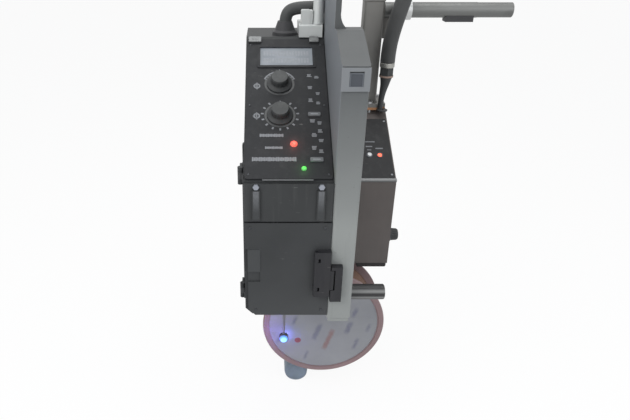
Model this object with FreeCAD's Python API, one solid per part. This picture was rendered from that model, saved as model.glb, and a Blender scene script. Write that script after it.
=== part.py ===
import FreeCAD, Part
import math
import os
from FreeCAD import Vector

os.makedirs("parts", exist_ok=True)

# Boom-hung welding wire feeder. The layout is drawn from a datum on the main unit: X is 0 at its middle,
# Y is 0 at its front and Z is 0 where its sloping panel starts. keep() moves every solid to the origin,
# the centre of the boom tube's free end. Millimetres, +Z up, +Y to the back.

# Fits
seatGap = 0.3            # clearance between pieces that move past each other
shaftGap = 0.06          # radial running clearance of shafts and pins
boltRadius = 4.0
boltHole = 4.3
boltAcross = 13.0        # across the flats of the frame's hexagon heads
boltHead = 5.0

# Main unit
mainWide = 165.0
mainDeep = 430.0
mainDrop = 298.0         # front height under the panel's lower edge
slopeRun = 301.0
slopeRise = 198.0
sheet = 2.5              # folded sheet of both housings
coverThick = 5.0         # front covers and panels
mainCorner = 14.0        # chamfer of the lower outer edge
coverSeam = -83.0        # joint between the two front covers
coverStep = -142.0       # where the lower cover narrows
bossInset = 23.0         # front bolts, from the unit's sides
bossWide = 15.0
frontShank = 3.2

# Main unit's door
doorFront = 36.0
doorBack = 414.0
doorHigh = 10.0
doorFoot = 17.0          # door's lower edge above the unit's bottom
doorLap = 12.0           # door's overlap over the opening
doorThick = 2.5
doorRibs = (41.0, 81.0, 121.0)
pullOut = 14.0
pullY = 385.0
pullLow = -150.0
pullLong = 80.0
hingeOut = 6.0
hingeY = 29.0
hingeRadius = 5.0
hingePinRadius = 2.5
hingeLong = 34.0
hingeZ = (-272.0, -18.0)

# Main unit's panel: across from the middle, and up the slope from its lower edge
panelMargin = 5.0
knobX = -14.0
knobUp = (231.0, 151.0)
knobWide = 25.0
knobGrip = 18.0
knobHigh = 21.0
knobShaft = 3.0
keyX = 52.0
keyUp = (152.0, 46.0)
keySize = (24.0, 9.0)
keyTravel = 1.2
lampList = ((11.0, 82.0, 7.0), (28.0, 27.0, 5.0))
lampDome = 3.5
screenX = 1.0
screenWide = 110.0
screenHigh = 53.0
screenBack = 55.3        # screen's middle, down from the slope's upper edge
screenDeep = 3.0
screenRim = 5.0
catchSpans = ((-77.0, -51.0), (50.0, 69.0))
catchLong = 16.0
catchHigh = 5.0

# Conduit over the main unit, and the lifting post
neckY = 342.0
neckZ = 254.0
neckTop = 300.0
neckFront = 118.0
neckBack = 35.0          # neck's back, behind the conduit
neckFlare = 20.0
socketDeep = 6.0
conduitRadius = 13.0
bootWide = 14.0          # boot's flange, out from the conduit
hangerGap = 2.0          # between the boot and the hanger block
hangerHigh = 26.0
hangerStep = 28.0        # narrower upper part of the block
hangerStepWide = 34.0
hangerInset = 4.5        # block's right face, from the unit's right side
hangerReach = 40.0       # block's back, behind the conduit's middle
postInset = 13.5
stemRadius = 11.0
stemHigh = 68.0
eyeRadius = 17.0
eyeThick = 6.0

# Clamp between the main unit and the column
leverInset = 26.5        # lever's pin, from the unit's right side
leverOut = 9.0
leverRadius = 5.0
leverFoot = 54.0         # lever's lower end above the unit's bottom
leverLong = 101.5
leverPin = 2.5
earHigh = 8.0
tongueLow = 16.0
tongueHigh = 60.0
keeperWide = 22.0
keeperOut = 13.0

# Column between the two units
columnWide = 48.0
columnDeep = 460.0
columnDrop = 306.0
columnRise = 204.0
columnWall = 4.0
shoulderRun = 100.0
shoulderRise = 41.0
shelfBack = 135.0        # where the short shelf ends
backTop = 185.0          # column's top behind the shelf
webHeights = (-200.0, -60.0, 80.0)
bracketHigh = 39.0
bracketOut = 3.0
toeThick = 10.0

# Companion unit on the right of the column
sideWide = 122.0
sideFront = 229.0
sideSeam = -102.0
sideDrop = 217.0
sideRun = 193.0
sideRise = 112.0
sideBack = 500.0
sideMarkUp = 72.0        # key and lamp, up the companion's slope
sideKeyX = 68.0          # from the unit's left face
sideLampX = 92.0
sideButton = 5.0         # radius of the key and of the lamp
sideKnobY = 262.0
sideKnobZ = -257.0
sideKnobShaft = 4.0
lipHigh = 10.0
sideRows = (270.0, 430.0)
sideHeights = (-290.0, -120.0)

# Boom
tubeRadius = 17.0
tubeWall = 3.0
tubeLong = 296.0
spigotRadius = 16.5      # turned end that the boom's clamp grips
spigotLong = 80.0
plugLong = 8.0
tubeY = 440.0
tubeZ = 236.0
postWide = 46.0
postDeep = 40.0
postTop = 256.0
capThick = 6.0
padThick = 6.0
footThick = 8.0
footMargin = (47.0, 43.0, 38.0, 42.0)    # foot's reach to the left, right, front and back
tubePad = (373.0, 437.0)

# Cable hose and its rest peg
glandX = 112.0
hoseRadius = 17.0
hoseY = 398.0
glandHigh = 86.0
glandBore = 8.5
nutHigh = 18.0
ringHigh = 12.0
pegRadius = 16.0
pegLong = 74.0
pegY = 42.0
pegRise = 36.0           # peg's axis above the column's lower end

# Spool, its arm and its lamp
spoolRadius = 150.0
spoolWide = 100.0
spoolX = 102.0
spoolY = 190.0           # front flange's face
spoolClear = 1.0
flangeThick = 5.0
webDeep = 9.0            # front web's face behind the flange's face
coreRadius = 98.0
coreWall = 4.0
woundRadius = 132.0
labelThick = 2.0
hubRadius = 25.5
hubFlange = 38.0
hubBack = 4.0
spindleRadius = 9.0
armThick = 14.0
armGap = 6.0
footX = 40.0
footBelow = 180.0        # arm's foot below the spindle
bumperY = 215.0
bumperRadius = 30.5
lampX = 3.0
lampY = 166.0
lampBelow = 19.0         # lamp's axis below the spindle
lampStemRadius = 3.0

# Wire drive
wireRadius = 0.6
gearModule = 1.25
rollTeeth = 28
pinionTeeth = 16
gearWide = 7.0
toothPlay = 0.35
rollWide = 12.0
rollNeck = 9.0
plateThick = 6.0
plateX = -6.0            # right face of the feed plate
plateTop = -12.0
driveZ = -150.0
gearClear = 3.0
axleRadius = 5.0
pivotRadius = 5.0
pivotBefore = 22.0       # arm's pivot ahead of and below the idler
pivotBelow = 48.0
screwAbove = 45.0
screwRadius = 3.0
lugFront = 10.0

halfMain = mainWide / 2
columnRight = halfMain + columnWide
sideRight = columnRight + sideWide
slopeAngle = math.degrees(math.atan2(slopeRise, slopeRun))
slopeLong = math.hypot(slopeRise, slopeRun)
sideAngle = math.degrees(math.atan2(sideRise, sideRun))
sideLong = math.hypot(sideRise, sideRun)
sideTop = sideSeam + sideRise
sideBottom = sideSeam - sideDrop
screenUp = slopeLong - screenBack
bossPlaces = (bossInset - halfMain, halfMain - bossInset)
doorLow = doorFoot - mainDrop
hingeX = -halfMain - hingeOut
leverX = halfMain - leverInset
leverLow = leverFoot - mainDrop
leverHigh = leverLow + leverLong
postX = columnRight + 76.0
tubeEnd = postX + postWide / 2 + tubeLong
footLeft = postX - footMargin[0]
footRight = postX + footMargin[1]
footFront = tubeY - footMargin[2]
footBack = tubeY + footMargin[3]
spoolTop = min(-columnDrop - toeThick - boltHead - 3.0, sideBottom) - spoolClear
spoolZ = spoolTop - spoolRadius
armY = spoolY + spoolWide + armGap
labelRadius = spoolRadius - 14.0
coreFront = flangeThick + 3.0
footZ = spoolZ - footBelow
lampZ = spoolZ - lampBelow
wireX = spoolX - woundRadius - wireRadius - seatGap
wireY = spoolY + spoolWide / 2
rollPitch = gearModule * rollTeeth / 2
pinionPitch = gearModule * pinionTeeth / 2
rollRadius = rollPitch - wireRadius
driveY = wireY + rollPitch
idlerY = wireY - rollPitch
pinionY = driveY + rollPitch + pinionPitch
gearX = plateX - plateThick - gearClear - gearWide
rollX = wireX - rollWide / 2
armPivotY = idlerY - pivotBefore
armPivotZ = driveZ - pivotBelow
screwX = gearX - 1.0
screwZ = driveZ + screwAbove
AX = Vector(1, 0, 0)
AY = Vector(0, 1, 0)
AZ = Vector(0, 0, 1)


def keep(name, *solids):
    shape = solids[0] if len(solids) == 1 else Part.makeCompound(list(solids))
    shape = shape.copy()
    shape.translate(Vector(-tubeEnd, -tubeY, -tubeZ))
    shape.exportStep("parts/" + name + ".step")


def block(x0, x1, y0, y1, z0, z1):
    return Part.makeBox(x1 - x0, y1 - y0, z1 - z0, Vector(x0, y0, z0))


def rod(radius, length, start, axis):
    return Part.makeCylinder(radius, length, start, axis)


def profile(points, axis, start, length):
    # Extrude a closed outline. axis "x" takes (y, z) pairs, "y" takes (x, z) and "z" takes (x, y).
    place = {"x": lambda a, b: Vector(start, a, b),
             "y": lambda a, b: Vector(a, start, b),
             "z": lambda a, b: Vector(a, b, start)}[axis]
    way = {"x": AX, "y": AY, "z": AZ}[axis]
    corners = [place(a, b) for a, b in points]
    wire = Part.makePolygon(corners + corners[:1])
    return Part.Face(wire).extrude(way * length)


def fuse(first, *rest):
    return first.multiFuse(list(rest)).removeSplitter()


def cut(body, *tools):
    return body.cut(Part.makeCompound(list(tools)))


def edgesAlong(shape, axis, test=lambda middle: True):
    found = []
    for edge in shape.Edges:
        if edge.Curve.TypeId != "Part::GeomLine":
            continue
        way = edge.tangentAt(edge.FirstParameter)
        if abs(way.dot(axis)) > 0.999 and test(edge.CenterOfMass):
            found.append(edge)
    return found


def rounded(shape, axis, radius, test=lambda middle: True):
    return shape.makeFillet(radius, edgesAlong(shape, axis, test))


def revolved(points, start, axis):
    # Turn a (radius, height) outline about a line that leaves start along axis.
    corners = [Vector(r, 0, h) for r, h in points]
    face = Part.Face(Part.makePolygon(corners + corners[:1]))
    body = face.revolve(Vector(0, 0, 0), AZ, 360)
    body.Placement = FreeCAD.Placement(start, FreeCAD.Rotation(AZ, axis))
    return body


def onSlope(shape):
    # From panel coordinates (x, up the slope, out of the panel) to the main unit's panel.
    shape = shape.copy()
    shape.rotate(Vector(0, 0, 0), AX, slopeAngle)
    return shape


def onSideSlope(shape):
    shape = shape.copy()
    shape.rotate(Vector(0, 0, 0), AX, sideAngle)
    shape.translate(Vector(0, sideFront, sideSeam))
    return shape


def hosePath(points):
    # Straight runs joined by tangent arcs, each as large as its two runs allow.
    edges = []
    last = points[0]
    for before, corner, after in zip(points, points[1:], points[2:]):
        inWay = (corner - before).normalize()
        outWay = (after - corner).normalize()
        turn = inWay.getAngle(outWay)
        reach = 0.45 * min((corner - before).Length, (after - corner).Length)
        radius = reach / math.tan(turn / 2)
        enter = corner - inWay * reach
        leave = corner + outWay * reach
        inner = (outWay - inWay).normalize()
        middle = corner + inner * (radius / math.cos(turn / 2) - radius)
        edges.append(Part.LineSegment(last, enter).toShape())
        edges.append(Part.Arc(enter, middle, leave).toShape())
        last = leave
    edges.append(Part.LineSegment(last, points[-1]).toShape())
    return Part.Wire(edges)


def hose(name, points, radius):
    path = hosePath(points)
    bends = [round(edge.Curve.Radius, 1) for edge in path.Edges if edge.Curve.TypeId == "Part::GeomCircle"]
    print(name, "bend radii", bends, "length", round(path.Length, 1))
    way = (points[1] - points[0]).normalize()
    ring = Part.Wire(Part.Circle(points[0], way, radius).toShape())
    return path.makePipeShell([ring], True, False)


def slopeProfile(front, run, rise, seam, back, bottom, inset, wall):
    # Side outline of a housing: inset behind its front and slope, wall inside its other faces.
    angle = math.atan2(rise, run)
    lift = inset / math.cos(angle)
    top = seam + rise - wall
    return [(front + inset, bottom + wall),
            (front + inset, seam + inset * math.tan(angle) - lift),
            (front + run + (lift - wall) / math.tan(angle), top),
            (back - wall, top),
            (back - wall, bottom + wall)]


# ---- boom ----

def boomTube():
    start = Vector(postX + postWide / 2, tubeY, tubeZ)
    outer = rod(tubeRadius, tubeLong - spigotLong, start, AX)
    spigot = rod(spigotRadius, spigotLong, start + AX * (tubeLong - spigotLong), AX)
    return fuse(outer, spigot).cut(rod(tubeRadius - tubeWall, tubeLong - plugLong, start, AX))


footPlaces = [Vector(x, y, sideTop + padThick + footThick)
              for x, y in ((footLeft + 10, footFront + 9), (postX + 5, footFront + 9),
                           (footLeft + 10, footBack - 9), (footRight - 10, footBack - 9))]


def footPlate(low, thick):
    plate = rounded(block(footLeft, footRight, footFront, footBack, low, low + thick), AZ, 8.0)
    return cut(plate, rod(10.5, 40, Vector(columnRight + glandX, hoseY, sideTop - 5), AZ), *footHoles())


def footHoles():
    return [rod(boltHole, 60, place - AZ * 50, AZ) for place in footPlaces]


def boomPost():
    post = block(postX - postWide / 2, postX + postWide / 2, tubeY - postDeep / 2, tubeY + postDeep / 2,
                 sideTop + padThick, postTop)
    return fuse(rounded(post, AZ, 6.0), footPlate(sideTop + padThick, footThick))


def boomPad():
    return footPlate(sideTop, padThick)


sidePlaces = [Vector(columnRight - columnWall, y, z) for y in sideRows for z in sideHeights]
armPlaces = [Vector(x, y, -columnDrop - toeThick) for x in (halfMain + 12, columnRight - 12)
             for y in (armY - 18, armY + 38)]


def boltHoles(places, way):
    return [rod(boltHole, 20, place - way * 1, way) for place in places]


def hexBolt(start, axis, across, headHigh, radius, shank):
    # Head sits on start and rises along axis; the shank runs the other way.
    spin = FreeCAD.Rotation(AZ, axis)
    corners = [Vector(across / math.sqrt(3) * math.cos(math.radians(60 * n)),
                      across / math.sqrt(3) * math.sin(math.radians(60 * n)), 0) for n in range(6)]
    head = Part.Face(Part.makePolygon(corners + corners[:1])).extrude(AZ * headHigh)
    body = head.fuse(rod(radius, shank, Vector(0, 0, -shank), AZ)).removeSplitter()
    body.Placement = FreeCAD.Placement(start, spin)
    return body


def footBolts():
    return [hexBolt(place, AZ, boltAcross, boltHead, boltRadius, footThick + padThick + sheet + 6)
            for place in footPlaces]


def postCap():
    cap = block(postX - postWide / 2 - 1, postX + postWide / 2 + 1, tubeY - postDeep / 2 - 1,
                tubeY + postDeep / 2 + 1, postTop, postTop + capThick)
    return cap.makeFillet(2.5, cap.Edges)


def boomGusset():
    left = postX + postWide / 2
    low = tubeZ - tubeRadius
    points = [(left, low - 46), (left, tubeZ), (left + 21, tubeZ), (left + 21, low - 6), (left + 7, low - 46)]
    return profile(points, "y", tubeY - 5, 10).cut(rod(tubeRadius, 60, Vector(left - 5, tubeY, tubeZ), AX))


def clipBand():
    # Clamp pad under the boom tube.
    x0, x1 = tubePad
    body = block(x0, x1, tubeY - 13, tubeY + 13, tubeZ - tubeRadius - 8, tubeZ - 6)
    return body.cut(rod(tubeRadius, x1 - x0, Vector(x0, tubeY, tubeZ), AX))


# ---- column ----

def columnOutline(inset):
    # Front edge, shoulder, short shelf, then a step down to the back.
    angle = math.atan2(shoulderRise, shoulderRun)
    lift = inset / math.cos(angle)
    top = columnRise + shoulderRise - inset
    return [(inset, inset - columnDrop),
            (inset, columnRise + inset * math.tan(angle) - lift),
            (shoulderRun + (lift - inset) / math.tan(angle), top),
            (shelfBack - inset, top),
            (shelfBack - inset, backTop - inset),
            (columnDeep - 2 * inset, backTop - inset),
            (columnDeep - 2 * inset, inset - columnDrop)]


def columnCasting():
    outline = columnOutline(0.0)
    outer = profile(outline, "x", halfMain, columnWide)
    outer = rounded(outer, AZ, 5.0, lambda middle: middle.y < 1)
    inner = profile([(y if y < columnDeep / 2 else columnDeep + 1, z) for y, z in columnOutline(columnWall)],
                    "x", halfMain + columnWall, columnWide - 2 * columnWall)
    casting = outer.cut(inner)
    for z in webHeights:
        web = block(halfMain + columnWall, columnRight - columnWall, columnWall, columnDeep - columnWall, z,
                    z + 5)
        casting = casting.fuse(web)
    return cut(casting.removeSplitter(), conduitSocket(), *boltHoles(armPlaces, AZ),
               *boltHoles(sidePlaces, AX))


def columnBack():
    return block(halfMain + columnWall + seatGap, columnRight - columnWall - seatGap, columnDeep - columnWall,
                 columnDeep, columnWall - columnDrop + seatGap,
                 backTop - columnWall - seatGap)




def conduitSocket():
    return rod(conduitRadius, socketDeep + 2, Vector(halfMain - 2, neckY, neckZ), AX)


def columnNeck():
    # Curved fin behind the shoulder: it takes the conduit's end and flares down to the shelf.
    shelf = columnRise + shoulderRise
    left = halfMain - 1
    waist = halfMain + socketDeep + 3
    foot = halfMain + neckFlare
    knee = Vector(waist, 0, shelf + 30)
    corners = [knee, Vector(waist, 0, neckTop), Vector(left, 0, neckTop), Vector(left, 0, shelf),
               Vector(halfMain, 0, shelf),
               Vector(halfMain, 0, backTop), Vector(foot, 0, backTop), Vector(foot, 0, shelf)]
    edges = [Part.LineSegment(start, end).toShape() for start, end in zip(corners, corners[1:])]
    bend = Vector(waist + (foot - waist) * 0.3, 0, shelf + 10)
    edges.append(Part.Arc(corners[-1], bend, knee).toShape())
    neck = Part.Face(Part.Wire(edges)).extrude(AY * (neckY + neckBack - neckFront))
    neck.translate(AY * neckFront)
    return neck.cut(conduitSocket())


def columnBracket():
    # Squared block at the top of the column's face, with a square socket through it.
    high = columnRise - 2
    low = high - bracketHigh
    middle = halfMain + columnWide / 2 + 1
    body = block(halfMain, columnRight, -bracketOut, 0.0, low, high)
    return body.cut(block(middle - 12, middle + 12, -bracketOut, 0.0, low + 8, high - 6))


def columnToe():
    return block(halfMain + 3, columnRight - 3, 3.0, 120.0, -columnDrop - toeThick, -columnDrop)


# ---- main unit ----

def mainShell():
    sizes = (0, slopeRun, slopeRise, 0, mainDeep, -mainDrop)
    outer = profile(slopeProfile(*sizes, coverThick, 0), "x", -halfMain, mainWide)
    hollow = profile(slopeProfile(*sizes, coverThick + sheet, sheet), "x", sheet - halfMain,
                     mainWide - 2 * sheet)
    corner = lambda middle: middle.x < 10 - halfMain and middle.z < 10 - mainDrop
    outer = outer.makeChamfer(mainCorner, edgesAlong(outer, AY, corner))
    hollow = hollow.makeChamfer(mainCorner - sheet * 0.6, edgesAlong(hollow, AY, corner))
    door = block(-halfMain - 1, sheet - halfMain + 1, doorFront + doorLap - 2, doorBack - doorLap,
                 doorLow + doorLap, doorHigh - doorLap)
    ports = [rod(7.0, 12, Vector(wireX, wireY, -mainDrop - 1), AZ),
             rod(conduitRadius - 3, 14, Vector(0, neckY, slopeRise - 12), AZ)]
    return cut(outer.cut(hollow), door, *ports)




def sideDoor():
    x1 = -halfMain - seatGap
    plate = rounded(block(x1 - doorThick, x1, doorFront, doorBack, doorLow, doorHigh), AX, 6.0)
    face = x1 - doorThick
    ribs = [block(face - 1.5, face, doorFront + 54, doorBack - 54, doorLow + up,
                  doorLow + up + 14) for up in doorRibs]
    pull = rounded(block(face - pullOut, face, pullY, pullY + 10, pullLow, pullLow + pullLong), AY, 5.0,
                   lambda middle: middle.x < face - pullOut + 4)
    pull = pull.cut(block(face - pullOut + 5, face, pullY - 1, pullY + 11, pullLow + 10,
                          pullLow + pullLong - 10))
    door = fuse(plate, pull, *ribs)
    for z in hingeZ:
        for low in (z, z + hingeLong * 0.7):
            barrel = rod(hingeRadius, hingeLong * 0.3 - seatGap, Vector(hingeX, hingeY, low), AZ)
            leaf = block(hingeX - 1.0, hingeX + 4.2, hingeY, doorFront + 12, low,
                         low + hingeLong * 0.3 - seatGap)
            door = door.fuse(fuse(barrel, leaf))
    bores = [rod(hingePinRadius + shaftGap, hingeLong + 2, Vector(hingeX, hingeY, z - 1), AZ) for z in hingeZ]
    return cut(door.removeSplitter(), *bores)


def hingeLeaves():
    solids = []
    for z in hingeZ:
        low = z + hingeLong * 0.3
        high = z + hingeLong * 0.7 - seatGap
        barrel = rod(hingeRadius, high - low, Vector(hingeX, hingeY, low), AZ)
        leaf = block(-halfMain - 2.5, -halfMain, 8, hingeY, low, high)
        tab = block(hingeX, -halfMain - 1, hingeY - 5, hingeY - 2, low, high)
        solids.append(fuse(barrel, leaf, tab).cut(rod(hingePinRadius, hingeLong, Vector(hingeX, hingeY, z),
                                                      AZ)))
    return solids


def hingePins():
    return [rod(hingePinRadius, hingeLong, Vector(hingeX, hingeY, z - seatGap), AZ) for z in hingeZ]


def frontCovers():
    upper = block(-halfMain, halfMain, 0, coverThick, coverSeam + seatGap, -6.0)
    upper = rounded(upper, AZ, 3.0, lambda middle: middle.y < 1)
    bosses = [block(x - bossWide / 2, x + bossWide / 2, -3.5, 0.0, coverSeam + 4, -18.0) for x in bossPlaces]
    upper = fuse(upper, *bosses)
    left = 6 - halfMain
    points = [(-halfMain, coverSeam), (halfMain, coverSeam), (halfMain, -mainDrop),
              (left + mainCorner, -mainDrop),
              (left, mainCorner - mainDrop), (left, coverStep), (-halfMain, coverStep)]
    lower = profile(points, "y", 0, coverThick)
    patch = block(left, left + 24, -1.5, 0.0, coverStep - 51, coverStep - 1)
    notch = block(left, left + 24, -1.0, 2.5, coverStep - 75, coverStep - 51)
    lower = cut(fuse(lower, patch), notch)
    holes = [rod(frontShank, 30, Vector(x, -12, -11.0), AY) for x in bossPlaces]
    return cut(upper, *holes), lower


def frontBolts():
    return [hexBolt(Vector(x, 0, -11.0), -AY, 10.0, 4.5, frontShank, coverThick) for x in bossPlaces]


# ---- main unit's panel: (x, up the slope, out of the panel) ----



def screenBlock(grow, low, high):
    return block(screenX - screenWide / 2 - grow, screenX + screenWide / 2 + grow,
                 screenUp - screenHigh / 2 - grow, screenUp + screenHigh / 2 + grow, low, high)


def mainPanel():
    panel = rounded(block(sheet - halfMain, halfMain - sheet, panelMargin, slopeLong - panelMargin,
                          -coverThick, 0), AZ, 4.0)
    tools = [screenBlock(0, -screenDeep, 0)]
    tools += [rod(knobShaft + shaftGap, 8, Vector(knobX, up, -6), AZ) for up in knobUp]
    for up in keyUp:
        tools.append(keyBlock(up, seatGap, -6, 1))
    tools += [rod(radius, 8, Vector(x, up, -6), AZ) for x, up, radius in lampList]
    return onSlope(cut(panel, *tools))




def keyBlock(up, grow, low, high):
    return block(keyX - keySize[0] / 2 - grow, keyX + keySize[0] / 2 + grow,
                 up - keySize[1] / 2 - grow, up + keySize[1] / 2 + grow, low, high)


def panelKey(up):
    key = keyBlock(up, 0, -coverThick + keyTravel, keyTravel + 1.5)
    return onSlope(rounded(key, AZ, 2.0))


def screenGlass():
    return onSlope(screenBlock(0, -screenDeep, -0.8))


def screenBezel():
    outer = rounded(screenBlock(screenRim, 0, 2), AZ, 4.0)
    return onSlope(outer.cut(screenBlock(-1, 0, 2)))


def knobBody(skirt, grip, shaft, high):
    # Skirted instrument knob with a fluted grip, turned about +Z from its seat.
    body = revolved([(0, seatGap), (skirt, seatGap), (skirt, 3.5), (grip + 1.5, 6.5), (grip, 8),
                     (grip - 1, high - 2),
                     (grip - 3, high), (0, high)], Vector(0, 0, 0), AZ)
    body = body.fuse(rod(shaft, 6, Vector(0, 0, -4.7), AZ))
    flutes = [rod(2.2, high, Vector((grip + 0.9) * math.cos(a), (grip + 0.9) * math.sin(a), 8.5), AZ)
              for a in [math.radians(24 * n) for n in range(15)]]
    pointer = block(-0.8, 0.8, grip * 0.35, grip + 1, high - 0.8, high + 1)
    return cut(body, pointer, *flutes)


def panelKnob(up):
    knob = knobBody(knobWide, knobGrip, knobShaft, knobHigh)
    knob.translate(Vector(knobX, up, 0))
    return onSlope(knob)


def lens(x, up, radius):
    body = revolved([(0, 0.5 - coverThick), (radius, 0.5 - coverThick), (radius, 0.6),
                     (radius * 0.8, lampDome - 1.3),
                     (radius * 0.4, lampDome - 0.3), (0, lampDome)], Vector(x, up, 0), AZ)
    return onSlope(body)


def panelCatches():
    solids = []
    for x0, x1 in catchSpans:
        body = block(x0, x1, slopeLong - 1 - catchLong, slopeLong - 1, 0, catchHigh)
        solids.append(onSlope(rounded(body, AX, 1.5, lambda middle: middle.z > catchHigh - 1)))
    return solids


# ---- top of the main unit ----

def conduitBoot():
    outline = [(conduitRadius + bootWide, 0), (conduitRadius + bootWide, 6), (conduitRadius + 9, 10),
               (conduitRadius + 6, 18),
               (conduitRadius + 2.5, 28), (conduitRadius, 28), (conduitRadius, 0)]
    return revolved(outline, Vector(0, neckY, slopeRise), AZ)


def conduitPoints():
    return [Vector(0, neckY, slopeRise), Vector(0, neckY, neckZ), Vector(halfMain + socketDeep, neckY, neckZ)]


def hangerBlock():
    left = conduitRadius + bootWide + hangerGap
    high = slopeRise + hangerHigh
    low = block(left, halfMain - hangerInset, slopeRun + 2, neckY + hangerReach, slopeRise, high)
    low = rounded(low, AX, 4.0, lambda middle: middle.z > high - 1)
    step = block(left + 4, left + hangerStepWide - stemRadius, slopeRun + 5, neckY - conduitRadius - hangerGap,
                 high - 5, high + hangerStep)
    return fuse(low, rounded(step, AY, 3.0, lambda middle: middle.z > high + 1))


def hangerPost():
    start = Vector(halfMain - postInset, slopeRun + 14, slopeRise + hangerHigh)
    stem = rod(stemRadius, stemHigh, start, AZ)
    collar = rod(stemRadius + 1, 4, start, AZ)
    eye = Part.makeTorus(eyeRadius, eyeThick, start + AZ * (stemHigh + eyeRadius), AX)
    return fuse(stem, collar).fuse(eye)


# ---- clamp between main unit and column ----

earPlaces = (leverLow + 14, leverHigh - 22)


def clampBase():
    ears = []
    for z in earPlaces:
        barrel = rod(leverRadius, earHigh, Vector(leverX, -leverOut, z), AZ)
        foot = block(leverX - leverRadius, leverX + leverRadius, -leverOut, 0, z, z + earHigh)
        ears.append(fuse(barrel, foot).cut(rod(leverPin, earHigh, Vector(leverX, -leverOut, z), AZ)))
    return ears


def clampPin():
    return rod(leverPin, leverLong - 12, Vector(leverX, -leverOut, leverLow + 6), AZ)


def clampLever():
    x1 = halfMain + 0.5
    front = -leverOut
    body = block(leverX + seatGap, x1, front - 5, -1.0, leverLow, leverHigh)
    body = body.fuse(rod(leverRadius, leverLong, Vector(leverX, front, leverLow), AZ)).removeSplitter()
    tongue = block(x1, x1 + 7, front - 4, front + 2, leverLow + tongueLow, leverLow + tongueHigh)
    body = body.fuse(tongue)
    notches = [block(leverX - 7, leverX + 7, front - 7, 1, z - seatGap,
                     z + earHigh + seatGap) for z in earPlaces]
    return cut(body, rod(leverPin + shaftGap, leverLong + 12, Vector(leverX, front, leverLow - 1), AZ),
               *notches)


def clampKeeper():
    x0 = halfMain + 2.5
    body = block(x0, x0 + keeperWide, -keeperOut, 0.0, leverLow - 12, leverLow + 68)
    return body.cut(block(x0 - 1, x0 + 8, -keeperOut - 1, -5.0, leverLow + tongueLow - 1,
                          leverLow + tongueHigh + 1))


# ---- work lamp under the main unit, facing the front ----

def lampStem():
    length = -mainDrop - lampZ
    return rod(lampStemRadius, length, Vector(lampX, lampY, lampZ), AZ).fuse(
        rod(14, 4, Vector(lampX, lampY, -mainDrop - 4), AZ))


def lampTurned(outline):
    return revolved(outline, Vector(lampX, lampY + 7, lampZ), -AY)


def lampHead():
    return lampTurned([(0, 0), (8, 0), (11, 4), (12, 14), (10, 14), (10, 11), (0, 11)])


def lampLens():
    return lampTurned([(0, 11), (10, 11), (10, 13), (9, 16.5), (6, 19.5), (0, 21)])


# ---- wire drive ----

def gear(teeth, wide, phase):
    # Spur gear about X with straight-flanked teeth; phase turns it by a share of one tooth.
    pitch = gearModule * teeth / 2
    outer = pitch + gearModule * 0.9
    root = pitch - gearModule * 1.15
    step = 2 * math.pi / teeth
    half = step / 4 - toothPlay / (2 * pitch)
    points = []
    for n in range(teeth):
        middle = (n + phase) * step
        for radius, swing in ((root, -1.55), (outer, -0.5), (outer, 0.5), (root, 1.55)):
            angle = middle + swing * half
            points.append((radius * math.cos(angle), radius * math.sin(angle)))
    return profile(points, "x", 0, wide)




def feedPlate():
    plate = block(plateX - plateThick, plateX, coverThick + sheet, mainDeep - coverThick - sheet,
                  sheet + coverThick - mainDrop, plateTop)
    holes = [rod(axleRadius + shaftGap, 20, Vector(plateX - 10, y, driveZ), AX) for y in (driveY, pinionY)]
    return cut(plate, *holes)


def driveRoll():
    wheel = gear(rollTeeth, gearWide, 0.0)
    wheel.translate(Vector(gearX, driveY, driveZ))
    body = revolved([(0, 0), (rollRadius, 0), (rollRadius, rollWide / 2 - 1.2),
                     (rollRadius - 0.5, rollWide / 2),
                     (rollRadius, rollWide / 2 + 1.2), (rollRadius, rollWide), (0, rollWide)],
                    Vector(rollX, driveY, driveZ), AX)
    neck = rod(rollNeck, gearX - rollX - rollWide, Vector(rollX + rollWide, driveY, driveZ), AX)
    shaft = rod(axleRadius, plateX - gearX - gearWide + 6, Vector(gearX + gearWide, driveY, driveZ), AX)
    return fuse(wheel, body, neck, shaft)


def idlerRoll():
    wheel = gear(rollTeeth, gearWide, 0.5)
    wheel.translate(Vector(gearX, idlerY, driveZ))
    body = rod(rollRadius, rollWide, Vector(rollX, idlerY, driveZ), AX)
    neck = rod(rollNeck, gearX - rollX - rollWide, Vector(rollX + rollWide, idlerY, driveZ), AX)
    bore = rod(axleRadius + shaftGap, 60, Vector(rollX - 10, idlerY, driveZ), AX)
    return fuse(wheel, body, neck).cut(bore)


def motorPinion():
    wheel = gear(pinionTeeth, gearWide, 0.5)
    wheel.translate(Vector(gearX, pinionY, driveZ))
    shaft = rod(axleRadius, plateX - gearX - gearWide + 6, Vector(gearX + gearWide, pinionY, driveZ), AX)
    return fuse(wheel, shaft)


def rollScrew():
    # Knurled thumb screw that keeps the drive roll on its shaft.
    body = rod(9.0, 8, Vector(rollX - 8, driveY, driveZ), AX)
    grooves = [rod(1.2, 6, Vector(rollX - 8, driveY + 9.4 * math.cos(a), driveZ + 9.4 * math.sin(a)), AX)
               for a in [math.radians(36 * n) for n in range(10)]]
    return cut(body, *grooves)


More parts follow.
